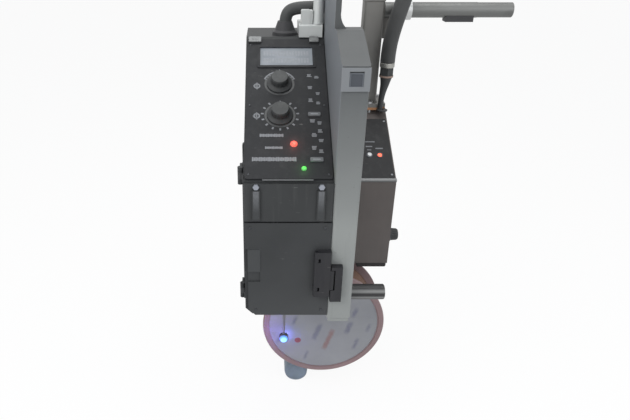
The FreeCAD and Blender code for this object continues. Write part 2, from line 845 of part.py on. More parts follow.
def pressureArm():
    x0 = rollX - 9.0
    x1 = rollX - 1.0
    points = [(armPivotY - 9, armPivotZ - 9), (armPivotY + 10, armPivotZ - 9), (idlerY + 11, driveZ - 8),
              (idlerY + 11, driveZ + 30), (idlerY + 8, driveZ + 56), (idlerY - 14, driveZ + 56),
              (idlerY - 16, driveZ + 10), (armPivotY - 9, armPivotZ + 10)]
    cheek = rounded(profile(points, "x", x0, x1 - x0), AX, 3.5)
    axle = rod(axleRadius, gearX + gearWide - x1 - 1, Vector(x1, idlerY, driveZ), AX)
    boss = rod(rollNeck, plateX - plateThick - x1 - seatGap, Vector(x1, armPivotY, armPivotZ), AX)
    lug = block(x1, screwX + 8, idlerY - lugFront, idlerY + 6, screwZ - 9, screwZ + 9)
    arm = fuse(cheek, axle, boss, lug)
    bore = rod(pivotRadius + shaftGap, 90, Vector(x0 - 5, armPivotY, armPivotZ), AX)
    return arm.cut(bore).cut(screwRod(screwRadius + shaftGap, 80))


def pivotPin():
    pin = rod(pivotRadius, plateX - plateThick - rollX + 11, Vector(rollX - 11, armPivotY, armPivotZ), AX)
    return fuse(pin, rod(8.0, 2, Vector(rollX - 11.3, armPivotY, armPivotZ), AX))




def screwRod(radius, length):
    return rod(radius, length, Vector(screwX, idlerY + 18 - length, screwZ), AY)


def tensionKnob():
    start = Vector(screwX, idlerY - lugFront - seatGap, screwZ)
    knob = revolved([(0, 0), (7, 0), (9.5, 3), (9.5, 22), (8, 26), (0, 26)], start, Vector(0, -1, 0))
    grooves = [rod(1.4, 40, Vector(screwX + 10 * math.cos(a), idlerY - 50, screwZ + 10 * math.sin(a)), AY)
               for a in [math.radians(30 * n) for n in range(12)]]
    return cut(knob, *grooves).fuse(screwRod(screwRadius, 40)).removeSplitter()


def tensionPost():
    return block(screwX - 5, plateX - plateThick, idlerY + 18 + seatGap, idlerY + 30, screwZ - 8, screwZ + 8)


def wireGuide(low, high, wide):
    body = revolved([(1.2, 0), (wide, 0), (wide, 5), (wide - 2, 8), (3.5, high - low), (1.2, high - low)],
                    Vector(wireX, wireY, low), AZ)
    foot = block(wireX + 4, plateX - plateThick, wireY - 4, wireY + 4, low + 1, low + 8)
    return body.fuse(foot.cut(rod(1.2, 30, Vector(wireX, wireY, low - 5), AZ))).removeSplitter()


def inletGuide():
    guide = revolved([(1.5, -8), (6, -8), (10, -5), (10, 0), (6.9, 0), (6.9, 5), (9, 5), (9, 9), (1.5, 9)],
                     Vector(wireX, wireY, -mainDrop), AZ)
    return guide


def weldingWire():
    return rod(wireRadius, -spoolZ - 5, Vector(wireX, wireY, spoolZ + 2), AZ)


def gearbox():
    body = block(plateX, 46, driveY - 26, pinionY + 24, driveZ - 30, driveZ + 34)
    body = rounded(body, AX, 8.0)
    return cut(body, *[rod(axleRadius + 0.5, 7, Vector(plateX - 0.5, y, driveZ), AX) for y in (driveY,
                                                                                               pinionY)])


def motor():
    start = Vector(26, driveY + 12, driveZ + 34)
    return revolved([(0, 0), (26, 0), (26, 6), (30, 6), (30, 104), (27, 110), (12, 110), (12, 116), (0, 116)],
                    start, AZ)


# ---- companion unit ----



def sideShell():
    sizes = (sideFront, sideRun, sideRise, sideSeam, sideBack, sideBottom)
    outer = profile(slopeProfile(*sizes, 0, 0), "x", columnRight, sideWide)
    inner = profile(slopeProfile(*sizes, sheet, sheet), "x", columnRight + sheet, sideWide - 2 * sheet)
    shell = outer.cut(inner)
    lip = block(columnRight + columnWide, sideRight - 3, sideFront, sideFront + 60, sideBottom - lipHigh,
                sideBottom)
    shell = shell.fuse(rounded(lip, AY, 4.0, lambda middle: middle.z < sideBottom - lipHigh / 2))
    tools = footHoles() + boltHoles(sidePlaces, AX)
    tools.append(rod(12.0, 10, Vector(columnRight + glandX, hoseY, sideTop - 5), AZ))
    tools.append(rod(sideKnobShaft + shaftGap, 20, Vector(sideRight - 10, sideKnobY, sideKnobZ), AX))
    return cut(shell, *tools)


def sidePanel():
    margin = 3.0
    panel = rounded(block(columnRight + margin, sideRight - margin, 6, sideLong - 40, 0, 3), AZ, 4.0)
    seam = block(columnRight, sideRight, -2.5, 5.5, 0, 4.5)
    keyHole = rod(sideButton + seatGap, 5, Vector(columnRight + sideKeyX, sideMarkUp, -1), AZ)
    lampHole = rod(sideButton, 5, Vector(columnRight + sideLampX, sideMarkUp, -1), AZ)
    return onSideSlope(cut(panel, keyHole, lampHole)), onSideSlope(rounded(seam, AX, 1.5, lambda m: m.z > 4))


def sideLamp():
    body = revolved([(0, 0), (sideButton, 0), (sideButton, 3.6), (sideButton - 1.5, 5.2), (0, 6)],
                    Vector(columnRight + sideLampX, sideMarkUp, 0), AZ)
    return onSideSlope(body)


def sideKey():
    low = seatGap + keyTravel
    body = revolved([(0, low), (sideButton, low), (sideButton, 6), (sideButton - 1, 7), (0, 7)],
                    Vector(columnRight + sideKeyX, sideMarkUp, 0), AZ)
    return onSideSlope(body)


def sideKnob():
    knob = knobBody(20.0, 15.0, sideKnobShaft, 24.0)
    knob.Placement = FreeCAD.Placement(Vector(sideRight, sideKnobY, sideKnobZ), FreeCAD.Rotation(AZ, AX))
    return knob


def sideBolts():
    return [hexBolt(place, -AX, boltAcross, boltHead, boltRadius,
                    columnWall + sheet + 5) for place in sidePlaces]


# ---- cable hose ----



def hosePoints():
    route = ((0, 0), (0, 30), (4, 70), (11, 112), (21, 154), (34, 199))
    low = sideTop + glandHigh + nutHigh + ringHigh
    return [Vector(columnRight + glandX + over, hoseY, low + up) for over, up in route]


def hoseGland():
    x = columnRight + glandX
    outline = [(0, 0), (glandBore, 0), (glandBore, 42), (10, 60), (15.5, glandHigh), (0, glandHigh)]
    return revolved(outline, Vector(x, hoseY, sideTop), AZ)


def glandNut():
    x = columnRight + glandX
    return hexBolt(Vector(x, hoseY, sideTop + glandHigh), AZ, 28.0, nutHigh, 8.0, 0.001)


def glandRing():
    x = columnRight + glandX
    outline = [(0, 0), (15.5, 0), (17, 2), (17, 10), (15.5, ringHigh), (0, ringHigh)]
    return revolved(outline, Vector(x, hoseY, sideTop + glandHigh + nutHigh), AZ)


def hoseCoupling():
    end = hosePoints()[-1]
    way = (end - hosePoints()[-2]).normalize()
    return revolved([(0, 0), (21, 0), (21, 8), (18, 10), (18, 34), (20, 36), (20, 44), (12, 44), (12, 52),
                     (0, 52)],
                    end, way)


def hoseBracket():
    # Saddle on the boom tube that carries the coupling.
    end = hosePoints()[-1]
    collar = rod(tubeRadius + 5, 30, Vector(end.x - 14, tubeY, tubeZ), AX)
    plate = block(end.x - 12, end.x + 14, tubeY - 5, tubeY + 5, tubeZ + tubeRadius, end.z + 30)
    arm = block(end.x - 12, end.x + 34, hoseY - 2, tubeY + 5, end.z + 14, end.z + 26)
    body = fuse(collar, plate, arm).cut(rod(tubeRadius, 40, Vector(end.x - 20, tubeY, tubeZ), AX))
    return body.cut(hoseCoupling())


def restPeg():
    body = rod(pegRadius, pegLong, Vector(columnRight, pegY, pegRise - columnDrop), AX)
    return body.makeFillet(3.0,
                           [edge for edge in body.Edges if edge.CenterOfMass.x > columnRight + pegLong - 4])


# ---- spool ----



def spoolArm():
    x0 = halfMain + 6
    x1 = columnRight - 6
    upper = block(x0 - 2, x1 + 2, armY, armY + armThick, spoolZ, -columnDrop)
    hub = rod(32.0, armThick, Vector(spoolX, armY, spoolZ), AY)
    span = Vector(footX - spoolX, 0, footZ - spoolZ)
    side = Vector(span.z, 0, -span.x).normalize()
    corners = [Vector(spoolX, armY, spoolZ) + side * 26, Vector(footX, armY, footZ) + side * 18,
               Vector(footX, armY, footZ) - side * 18, Vector(spoolX, armY, spoolZ) - side * 26]
    lower = Part.Face(Part.makePolygon(corners + corners[:1])).extrude(AY * armThick)
    toe = rod(18.0, armThick, Vector(footX, armY, footZ), AY)
    flange = block(x0 - 2, x1 + 2, armY - 30, armY + 50, -columnDrop - toeThick, -columnDrop)
    arm = fuse(upper, hub, lower, toe, flange)
    rib = block((x0 + x1) / 2 - 4, (x0 + x1) / 2 + 4, armY + armThick, armY + 46, spoolZ + 40,
                -columnDrop - toeThick)
    arm = fuse(arm, rib)
    return cut(arm, rod(spindleRadius, armThick, Vector(spoolX, armY, spoolZ), AY),
               rod(5.0, armThick, Vector(footX, armY, footZ), AY), *boltHoles(armPlaces, AZ))


def armBolts():
    return [hexBolt(place, -AZ, boltAcross, boltHead, boltRadius, toeThick + 6) for place in armPlaces]


def armBumper():
    length = armY - bumperY
    return revolved([(0, 0), (bumperRadius - 6.5, 0), (bumperRadius - 1.5, 3), (bumperRadius, 10),
                     (bumperRadius, length - 4), (bumperRadius - 2.5, length), (0, length)],
                    Vector(footX, bumperY, footZ), AY)


def bumperBolt():
    return hexBolt(Vector(footX, armY + armThick, footZ), AY, 16.0, 6.0, 5.0, armThick)


def spindle():
    length = armY + armThick + 4 - (spoolY + 18)
    shaft = rod(spindleRadius, length, Vector(spoolX, spoolY + 18, spoolZ), AY)
    nut = hexBolt(Vector(spoolX, armY + armThick, spoolZ), AY, 27.0, 9.0, 9.0, 0.001)
    return fuse(shaft, nut)


def spoolHub():
    # Turns on the spindle, and its sleeve passes the lock ring to carry the front web too.
    long = spoolWide - 22 + seatGap
    bore = spindleRadius + shaftGap
    outline = [(bore, 0), (20, 0), (20, webDeep - 22), (hubRadius, webDeep - 22), (hubRadius, long),
               (hubFlange, long), (hubFlange, long + hubBack), (bore, long + hubBack)]
    return revolved(outline, Vector(spoolX, spoolY + 22, spoolZ), AY)


def hubRetainer():
    # Washer and lock ring on the spindle's front end.
    return revolved([(0, 0), (16, 0), (18, 2), (18, 9.7), (0, 9.7)], Vector(spoolX, spoolY + 12, spoolZ), AY)


def spoolTurned(outline):
    return revolved(outline, Vector(spoolX, spoolY, spoolZ), AY)


def spoolBody():
    # Two flanges with their webs, pressed onto the ends of the core.
    wide = spoolWide
    bore = coreRadius - coreWall
    front = spoolTurned([(hubRadius, webDeep), (bore, webDeep), (bore, labelThick + 1),
                         (labelRadius, labelThick + 1),
                         (labelRadius, 0), (spoolRadius - 2, 0), (spoolRadius, 2), (spoolRadius, flangeThick),
                         (coreRadius, coreFront), (bore, coreFront), (hubRadius, coreFront + 6)])
    core = spoolTurned([(bore, coreFront), (coreRadius, coreFront), (coreRadius, wide - coreFront),
                        (bore, wide - coreFront)])
    rear = spoolTurned([(hubRadius, wide), (spoolRadius - 2, wide), (spoolRadius, wide - 2),
                        (spoolRadius, wide - flangeThick), (coreRadius, wide - coreFront),
                        (hubRadius, wide - coreFront)])
    return [front, core, rear]


def woundWire():
    return spoolTurned([(coreRadius, coreFront), (woundRadius, flangeThick + 1.8),
                        (woundRadius, spoolWide - flangeThick - 1.8), (coreRadius, spoolWide - coreFront)])


def spoolLabel():
    return rod(labelRadius - seatGap, labelThick, Vector(spoolX, spoolY + 1.0, spoolZ), AY)


# ---- every piece ----

sidePlate, seamStrip = sidePanel()
upperCover, lowerCover = frontCovers()
bumperScrew = bumperBolt()
pieces = {
    "boom_tube": boomTube(),
    "boom_post": fuse(boomPost(), postCap(), boomGusset()),
    "insulator_pad": boomPad(),
    "tube_pad": clipBand(),
    "frame_bolts": footBolts() + sideBolts() + armBolts() + [bumperScrew],
    "column_casting": fuse(columnCasting(), columnNeck(), columnToe()),
    "column_back": columnBack(),
    "column_bracket": columnBracket(),
    "main_housing": mainShell(),
    "side_door": sideDoor(),
    "door_hinges": [leaf.fuse(pin) for leaf, pin in zip(hingeLeaves(), hingePins())],
    "upper_front_cover": upperCover,
    "lower_front_cover": lowerCover,
    "front_bolts": frontBolts(),
    "main_panel": fuse(mainPanel(), screenBezel()),
    "screen_glass": screenGlass(),
    "upper_knob": panelKnob(knobUp[0]),
    "lower_knob": panelKnob(knobUp[1]),
    "mode_key": panelKey(keyUp[0]),
    "test_key": panelKey(keyUp[1]),
    "panel_lamps": [lens(x, up, radius) for x, up, radius in lampList],
    "panel_catches": panelCatches(),
    "conduit_boot": conduitBoot(),
    "conduit": hose("conduit", conduitPoints(), conduitRadius),
    "hanger_block": hangerBlock(),
    "lifting_post": hangerPost(),
    "clamp_base": clampBase() + [clampPin()],
    "clamp_lever": clampLever(),
    "clamp_keeper": clampKeeper(),
    "lamp_stem": fuse(lampStem(), lampHead()),
    "lamp_lens": lampLens(),
    "feed_plate": fuse(feedPlate(), tensionPost(), pivotPin()),
    "gear_motor": fuse(gearbox(), motor()),
    "motor_pinion": motorPinion(),
    "drive_roll": driveRoll(),
    "roll_screw": rollScrew(),
    "idler_roll": idlerRoll(),
    "pressure_arm": pressureArm(),
    "tension_knob": tensionKnob(),
    "wire_guides": [inletGuide(), wireGuide(driveZ + 58, driveZ + 120, 7.0)],
    "welding_wire": weldingWire(),
    "side_housing": sideShell(),
    "side_panel": sidePlate,
    "seam_strip": seamStrip,
    "side_lamp": sideLamp(),
    "side_key": sideKey(),
    "side_knob": sideKnob(),
    "cable_hose": hose("cable_hose", hosePoints(), hoseRadius),
    "hose_gland": fuse(hoseGland(), glandNut()),
    "gland_ring": glandRing(),
    "hose_coupling": hoseCoupling(),
    "hose_bracket": hoseBracket(),
    "rest_peg": restPeg(),
    "spool_arm": spoolArm(),
    "arm_bumper": armBumper(),
    "spindle": fuse(spindle(), hubRetainer()),
    "spool_hub": spoolHub(),
    "spool_body": spoolBody(),
    "wound_wire": woundWire(),
    "spool_label": spoolLabel(),
}
for name, made in pieces.items():
    solids = made if isinstance(made, list) else [made]
    keep(name, *solids)
print(len(pieces), "pieces")
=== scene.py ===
import math
import bmesh
import bpy
from mathutils import Matrix, Vector


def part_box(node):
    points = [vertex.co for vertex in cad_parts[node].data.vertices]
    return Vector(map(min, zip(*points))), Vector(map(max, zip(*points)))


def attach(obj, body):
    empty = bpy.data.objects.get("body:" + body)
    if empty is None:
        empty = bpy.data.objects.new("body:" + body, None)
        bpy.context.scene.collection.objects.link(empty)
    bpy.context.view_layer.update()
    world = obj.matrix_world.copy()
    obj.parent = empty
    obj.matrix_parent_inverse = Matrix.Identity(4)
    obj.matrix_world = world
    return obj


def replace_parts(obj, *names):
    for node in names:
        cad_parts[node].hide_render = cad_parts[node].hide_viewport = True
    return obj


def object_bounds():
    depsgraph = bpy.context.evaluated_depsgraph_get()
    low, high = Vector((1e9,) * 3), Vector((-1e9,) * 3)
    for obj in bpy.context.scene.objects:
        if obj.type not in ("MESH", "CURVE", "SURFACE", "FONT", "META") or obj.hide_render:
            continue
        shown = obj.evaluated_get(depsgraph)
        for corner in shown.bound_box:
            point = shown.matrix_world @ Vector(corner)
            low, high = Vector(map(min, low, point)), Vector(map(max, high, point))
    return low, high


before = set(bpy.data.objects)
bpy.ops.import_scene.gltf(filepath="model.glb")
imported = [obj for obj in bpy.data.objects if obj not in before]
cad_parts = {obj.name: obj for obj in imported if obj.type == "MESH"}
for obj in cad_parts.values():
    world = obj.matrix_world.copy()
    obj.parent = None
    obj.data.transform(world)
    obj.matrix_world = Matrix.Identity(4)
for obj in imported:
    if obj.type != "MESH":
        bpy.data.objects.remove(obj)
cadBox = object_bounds()
mm = 0.001

# The control unit's own datum: middle of its width, front face, lower edge of the sloping panel.
# Sizes below are in millimetres from there unless a note says otherwise.
housingLow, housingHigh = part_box("main_housing")
slopeRun, slopeRise = 0.301, 0.198
slopeLong = math.hypot(slopeRun, slopeRise) / mm
datum = Vector(((housingLow.x + housingHigh.x) / 2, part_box("column_bracket")[1].y, housingHigh.z - slopeRise))
sideLow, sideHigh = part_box("side_housing")
sideRun, sideRise = 0.193, 0.112
sideDatum = Vector((sideLow.x, sideLow.y, sideHigh.z - sideRise))


def wayAt(angle):
    return Vector((math.cos(angle), math.sin(angle), 0))


def spot(x, y, z):
    return datum + Vector((x, y, z)) * mm


def shift(x, y, z):
    return Matrix.Translation(Vector((x, y, z)) * mm)


def turned(degrees, axis):
    return Matrix.Rotation(math.radians(degrees), 4, axis)


datumPlace = Matrix.Translation(datum)
panelPlace = datumPlace @ Matrix.Rotation(math.atan2(slopeRise, slopeRun), 4, "X")
sidePlace = Matrix.Translation(sideDatum) @ Matrix.Rotation(math.atan2(sideRise, sideRun), 4, "X")


def joined(operation):
    return lambda self, other=0.0: self.graph.sums(operation, self, other)


class Link:
    # One output of a node, so that sums on it add nodes.
    def __init__(self, graph, socket):
        self.graph = graph
        self.socket = socket

    def clip(self, low, high):
        return self.graph.add("ShaderNodeMapRange", {0: self, 1: low, 2: high, 3: 0.0, 4: 1.0}, clamp=True)

    __add__ = __radd__ = joined("ADD")
    __mul__ = __rmul__ = joined("MULTIPLY")
    __sub__ = joined("SUBTRACT")
    __pow__ = joined("POWER")
    over = joined("GREATER_THAN")
    under = joined("LESS_THAN")
    size = joined("ABSOLUTE")
    wave = joined("SINE")


class Graph:
    # Adds nodes to a tree and joins them, for finishes and for rows of small pieces.
    def __init__(self, tree):
        self.tree = tree

    def sums(self, operation, first, second):
        return self.add("ShaderNodeMath", {0: first, 1: second}, operation=operation)

    def add(self, kind, sockets=None, out=0, **settings):
        node = self.tree.nodes.new(kind)
        for key, value in settings.items():
            setattr(node, key, value)
        for key, value in (sockets or {}).items():
            self.put(node.inputs[key], value)
        return Link(self, node.outputs[out])

    def put(self, socket, value):
        if isinstance(value, Link):
            self.tree.links.new(value.socket, socket)
        elif isinstance(value, tuple) and len(value) == 3 and len(socket.default_value) == 4:
            socket.default_value = (*value, 1)
        else:
            socket.default_value = value


class Finish(Graph):
    def __init__(self, name):
        self.material = bpy.data.materials.new(name)
        self.material.use_nodes = True
        super().__init__(self.material.node_tree)
        self.tree.nodes.clear()
        self.shader = self.tree.nodes.new("ShaderNodeBsdfPrincipled")
        self.end = self.tree.nodes.new("ShaderNodeOutputMaterial")
        self.tree.links.new(self.shader.outputs[0], self.end.inputs["Surface"])
        self.coords = self.add("ShaderNodeTexCoord", out="Object")

    def set(self, **sockets):
        for key, value in sockets.items():
            self.put(self.shader.inputs[names[key]], value)

    def noise(self, scale, detail=3.0, rough=0.5, stretch=None):
        where = self.coords
        if stretch:
            where = self.add("ShaderNodeMapping", {"Vector": where, "Scale": stretch})
        return self.add("ShaderNodeTexNoise", {"Vector": where, "Scale": scale, "Detail": detail,
                                               "Roughness": rough})

    def axis(self, letter):
        return self.add("ShaderNodeSeparateXYZ", {0: self.coords}, letter)

    def mix(self, share, first, second):
        return self.add("ShaderNodeMix", {"Factor": share, 6: first, 7: second}, 2, data_type="RGBA")

    def layers(self, tone, tones, **shares):
        # Each named tone laid over the last one by its share.
        for key, share in shares.items():
            tone = self.mix(share, tone, tones[key])
        return tone

    def bump(self, height, depth, strength=1.0):
        return self.add("ShaderNodeBump", {"Height": height, "Distance": depth, "Strength": strength})


names = {"colour": "Base Color", "rough": "Roughness", "metal": "Metallic", "normal": "Normal",
         "coat": "Coat Weight", "sheen": "Sheen Weight", "specular": "Specular IOR Level",
         "glow": "Emission Color", "glowing": "Emission Strength"}


def shade(colour, factor):
    return tuple(min(1.0, c * factor) for c in colour)


def paint(finish, colour, rough, dusty, specular, grain=900, depth=0.00012, dust=(0.30, 0.29, 0.27)):
    # Textured paint: fine grain, cloudy tone, a little dust and a few rubbed marks.
    cloud = finish.noise(7, 4)
    fine = finish.noise(grain, 2)
    streak = finish.noise(5, 3, 0.6, (9, 9, 0.8))
    scratch = finish.noise(40, 5, 0.7, (1, 1, 6)).clip(0.66, 0.72)
    tone = finish.mix(cloud.clip(0.3, 0.7), shade(colour, 0.86), shade(colour, 1.12))
    tone = finish.mix(streak.clip(0.5, 0.8) * dusty, tone, dust)
    tone = finish.mix(scratch * 0.22, tone, shade(dust, 1.1))
    finish.set(colour=tone, rough=cloud * 0.16 + (rough - 0.08) + fine * 0.06, specular=specular,
               normal=finish.bump(fine, depth, 0.7))


def moulding(finish, colour, rough, dusty=0.12, specular=0.4):
    # Moulded plastic: a paint with a finer grain.
    paint(finish, colour, rough, dusty, specular, 1500, 0.00006, (0.34, 0.34, 0.33))


def brushed(finish, colour, rough, spots=0.25, way=(30, 30, 30), metal=0.85):
    # Drawn or turned metal: fine lines along one way, with dull patches.
    lines = finish.noise(60, 4, 0.6, way)
    patch = finish.noise(14, 4)
    tone = finish.mix(lines.clip(0.3, 0.7), shade(colour, 0.84), shade(colour, 1.1))
    tone = finish.mix(patch.clip(0.55, 0.75) * spots, tone, shade(colour, 0.5))
    finish.set(colour=tone, metal=metal, rough=lines * 0.14 + rough,
               normal=finish.bump(lines, 0.00005, 0.5))


def casting(finish, colour, rough, metal=0.25, dusty=0.2):
    # Painted or blasted casting: pebbled skin and soft stains.
    pebble = finish.noise(420)
    cloud = finish.noise(5, 5)
    stain = finish.noise(9, 4, 0.6, (6, 6, 0.7)).clip(0.52, 0.8)
    tone = finish.mix(cloud.clip(0.3, 0.7), shade(colour, 0.92), shade(colour, 1.08))
    tone = finish.mix(stain * dusty, tone, shade(colour, 0.55))
    finish.set(colour=tone, metal=metal, rough=cloud * 0.14 + rough,
               normal=finish.bump(pebble, 0.0002, 0.55))


def rubber(finish, colour, rough):
    # Matt rubber, chalky in patches.
    fine = finish.noise(700)
    cloud = finish.noise(18, 4)
    tone = finish.mix(cloud.clip(0.35, 0.75) * 0.7, colour, shade(colour, 1.9))
    finish.set(colour=tone, rough=cloud * 0.18 + (rough - 0.06), sheen=0.15,
               normal=finish.bump(fine * 0.3, 0.0005, 0.6))


def lit(finish, colour, core, strength):
    # A lit lens with a slightly uneven glow.
    grain = finish.noise(260, 2)
    tone = finish.mix(grain.clip(0.4, 0.6) * 0.35, colour, core)
    finish.set(colour=colour, rough=0.2, coat=0.5, glow=tone, glowing=strength)


def plain(finish, colour, rough, variation):
    # Print, board and other dull skins.
    cloud = finish.noise(160)
    tone = finish.mix(cloud.clip(0.3, 0.7), shade(colour, 1 - variation), shade(colour, 1 + variation * 0.5))
    finish.set(colour=tone, rough=cloud * 0.15 + (rough - 0.07))


label = {
    "lean": 72,  # strokes' slope in degrees
    "paper": ((0.240, 0.245, 0.262), (0.30, 0.305, 0.32)),
    "blue": (0.145, 0.147, 0.205),
    "red": (0.23, 0.125, 0.12),
    # Each stroke's middle across and up, its half length and its half width.
    "redStroke": ((117, -523), 34, 7),
    "blueStrokes": (((178, -440), 16, 6), ((166, -486), 21, 7), ((187, -537), 19, 5), ((88, -498), 28, 7),
                    ((31, -463), 15, 5), ((127, -440), 18, 6), ((60, -412), 20, 6), ((140, -388), 14, 5),
                    ((-8, -520), 16, 5), ((62, -574), 16, 4), ((215, -486), 13, 5), ((104, -372), 10, 5)),
}


def strokePrint(finish):
    # Pale coated label with soft slanting blue-grey strokes and one dull red one.
    lean = math.radians(label["lean"])

    def leaned(x, z):
        # How far along the strokes a place is, and how far across them.
        return x * math.cos(lean) + z * math.sin(lean), z * math.cos(lean) - x * math.sin(lean)

    along, across = leaned(finish.axis("X"), finish.axis("Z"))
    fray = finish.noise(90, 4, 0.65).clip(0.25, 0.6)
    drift = (finish.noise(130) - 0.5) * 0.006

    def stroke(place, halfLong, halfWide):
        middle = spot(place[0], 0, place[1])
        middleAlong, middleAcross = leaned(middle.x, middle.z)
        longways = (along - middleAlong + drift).size()
        sideways = (across - middleAcross + drift).size()
        return (longways.clip((halfLong + 3) * mm, (halfLong - 9) * mm)
                * sideways.clip((halfWide + 2) * mm, (halfWide - 4) * mm))

    blue = 0.0
    for placed in label["blueStrokes"]:
        blue = stroke(*placed) + blue
    ink = fray * 0.3 + 0.5
    tone = finish.mix(finish.noise(11, 4).clip(0.3, 0.75), *label["paper"])
    tone = finish.layers(tone, label, blue=blue * ink, red=stroke(*label["redStroke"]) * ink)
    finish.set(colour=tone, rough=fray * 0.08 + 0.42, specular=0.3,
               normal=finish.bump(finish.noise(300, 2), 0.00004, 0.4))


column = {
    "dark": (0.112, 0.119, 0.121), "pale": (0.305, 0.318, 0.308), "crown": (0.072, 0.076, 0.077),
    "cloud": (0.20, 0.21, 0.21), "stain": (0.11, 0.115, 0.115), "chip": (0.09, 0.09, 0.09),
    # Tone of the painted highlight on the column's left-facing faces.
    "leftFace": (0.20, 0.215, 0.235),
    # Heights in millimetres where the painted shade above, its darker crown, the paler lower part and the
    # painted highlight on the left faces begin.
    "paintedShadeAbove": 150, "paintedLightBelow": -120, "crownAbove": 215, "paintedLightLeftAbove": 20,
}


def columnFinish(finish):
    # The column's paint carries painted shade, darker above and darker still at its crown, and is pale lower
    # down; stains, cloud, chips and a painted highlight on its left-facing faces lie over it.
    pebble = finish.noise(420)
    cloud = finish.noise(5, 5)
    # Height drives the painted shade that darkens the column's upper part and its crown.
    drift = cloud * 0.10 + finish.axis("Z")
    dark, pale, crown, left = (spot(0, 0, column[key]).z
                               for key in ("paintedShadeAbove", "paintedLightBelow", "crownAbove", "paintedLightLeftAbove"))
    run = finish.noise(9, 4, 0.6, (6, 6, 0.7)).clip(0.52, 0.8)
    chip = finish.noise(90, 4, 0.65).clip(0.68, 0.72)
    # Painted highlight: faces turned towards -X, above a given height, are made paler and bluer where light
    # falls on them.
    facing = finish.add("ShaderNodeNewGeometry", out="Normal")
    leftFace = finish.add("ShaderNodeSeparateXYZ", {0: facing}, "X").under(-0.7)
    tone = finish.layers(column["dark"], column, pale=drift.clip(dark + 0.05, pale + 0.05),
                         crown=drift.clip(dark + 0.05, crown + 0.05), cloud=cloud.clip(0.3, 0.7) * 0.25,
                         stain=run * 0.18, chip=chip * 0.35,
                         leftFace=leftFace * finish.axis("Z").over(left) * 0.7)
    finish.set(colour=tone, metal=0.1, rough=cloud * 0.14 + 0.5, specular=0.35,
               normal=finish.bump(pebble, 0.0002, 0.55))


sidePaint = {"tones": ((0.102, 0.090, 0.085), (0.130, 0.113, 0.106)), "streak": (0.165, 0.14, 0.13),
             "lip": (0.018, 0.016, 0.016), "lipBelow": -318.5}


def sideFinish(finish):
    # Brown-grey paint with paler streaks, and near black below a given height along its bottom.
    fine = finish.noise(900, 2)
    cloud = finish.noise(7, 4)
    streak = finish.noise(6, 4, 0.6, (8, 8, 0.8)).clip(0.5, 0.8)
    tone = finish.mix(cloud.clip(0.3, 0.7), *sidePaint["tones"])
    tone = finish.layers(tone, sidePaint, streak=streak * 0.3,
                         lip=finish.axis("Z").under(spot(0, 0, sidePaint["lipBelow"]).z))
    finish.set(colour=tone, rough=cloud * 0.16 + fine * 0.06 + 0.42, specular=0.3,
               normal=finish.bump(fine, 0.00012, 0.7))


lens = {"skin": (0.10, 0.22, 0.6), "rim": (0.06, 0.20, 1.0), "core": (0.40, 0.95, 1.0), "coreShare": 0.26}


def lensFinish(finish):
    # Lit blue lens: nearly white-cyan in the middle and deep blue at its rim.
    low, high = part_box("lamp_lens")
    wide = high.x - low.x
    x = finish.axis("X") - (low.x + high.x) / 2
    z = finish.axis("Z") - (low.z + high.z) / 2
    away = (x * x + z * z) ** 0.5
    core = away.clip(wide * 0.5, wide * lens["coreShare"]) * finish.noise(300, 2).clip(0.0, 0.4)
    finish.set(colour=lens["skin"], rough=0.25, specular=0.3, glowing=1.0,
               glow=finish.mix(core, lens["rim"], lens["core"]))


cover = {"tones": ((0.044, 0.046, 0.047), (0.057, 0.059, 0.061)), "scratch": (0.3, 0.3, 0.3),
         "foot": (0.074, 0.077, 0.079), "footFrom": -215, "footTo": -290,
         "patch": (0.067, 0.070, 0.072), "patchSpan": (-79, -51), "patchRise": (-196, -141)}


def coverFinish(finish):
    # Black plastic of the lower cover, with a paler worn patch over its access plate.
    fine = finish.noise(1500, 2)
    cloud = finish.noise(7, 4)
    x, z = finish.axis("X"), finish.axis("Z")
    start, end = (spot(across, 0, up) for across, up in zip(cover["patchSpan"], cover["patchRise"]))
    patch = x.over(start.x) * x.under(end.x) * z.over(start.z) * z.under(end.z)
    scratch = finish.noise(40, 5, 0.7, (1, 1, 6)).clip(0.68, 0.74)
    foot = z.clip(spot(0, 0, cover["footFrom"]).z, spot(0, 0, cover["footTo"]).z)
    tone = finish.mix(cloud.clip(0.3, 0.7), *cover["tones"])
    tone = finish.layers(tone, cover, scratch=scratch * 0.18, foot=foot * 0.5, patch=patch * 0.8)
    finish.set(colour=tone, rough=cloud * 0.16 + 0.44, specular=0.15,
               normal=finish.bump(fine, 0.00006, 0.7))


strip = {"dark": (0.054, 0.057, 0.059), "pale": (0.185, 0.19, 0.20), "darkBelow": -62, "paleAbove": -18}


def stripFinish(finish):
    # Rubbed face of a bolt boss, pale under the bolt and fading downward.
    fade = finish.axis("Z").clip(spot(0, 0, strip["darkBelow"]).z, spot(0, 0, strip["paleAbove"]).z)
    grain = finish.noise(160, 4).clip(0.3, 0.7)
    tone = finish.mix(fade * (grain * 0.4 + 0.6), strip["dark"], strip["pale"])
    finish.set(colour=tone, rough=grain * 0.1 + 0.42, specular=0.2)


# Tones of the peg's painted shade and painted highlight, the bands' middle height and their spacing.
peg = {"dark": (0.040, 0.040, 0.041), "pale": (0.200, 0.202, 0.200), "middle": -261, "pitch": 13.5}


def pegFinish(finish):
    # Dark turned peg with painted reflection bands along its length: pale painted highlights with dark painted
    # shade between.
    cloud = finish.noise(24, 4, 0.5, (0.2, 1, 1))
    across = (finish.axis("Z") - spot(0, 0, peg["middle"]).z) * (2 * math.pi / (peg["pitch"] * mm))
    paintedReflectionBand = (across + cloud * 0.8 + 1.2).wave().clip(-0.4, 0.9)
    lines = finish.noise(60, 4, 0.6, (60, 2, 2))
    finish.set(colour=finish.mix(paintedReflectionBand, peg["dark"], peg["pale"]), metal=0.25, specular=0.3,
               rough=lines * 0.14 + 0.36, normal=finish.bump(lines, 0.00005, 0.5))


lamps = {"green": (0.07, 0.34, 0.08), "red": (0.72, 0.085, 0.06), "greenCore": (0.27, 0.52, 0.21),
         "redCore": (0.80, 0.36, 0.29), "glowing": 0.52}


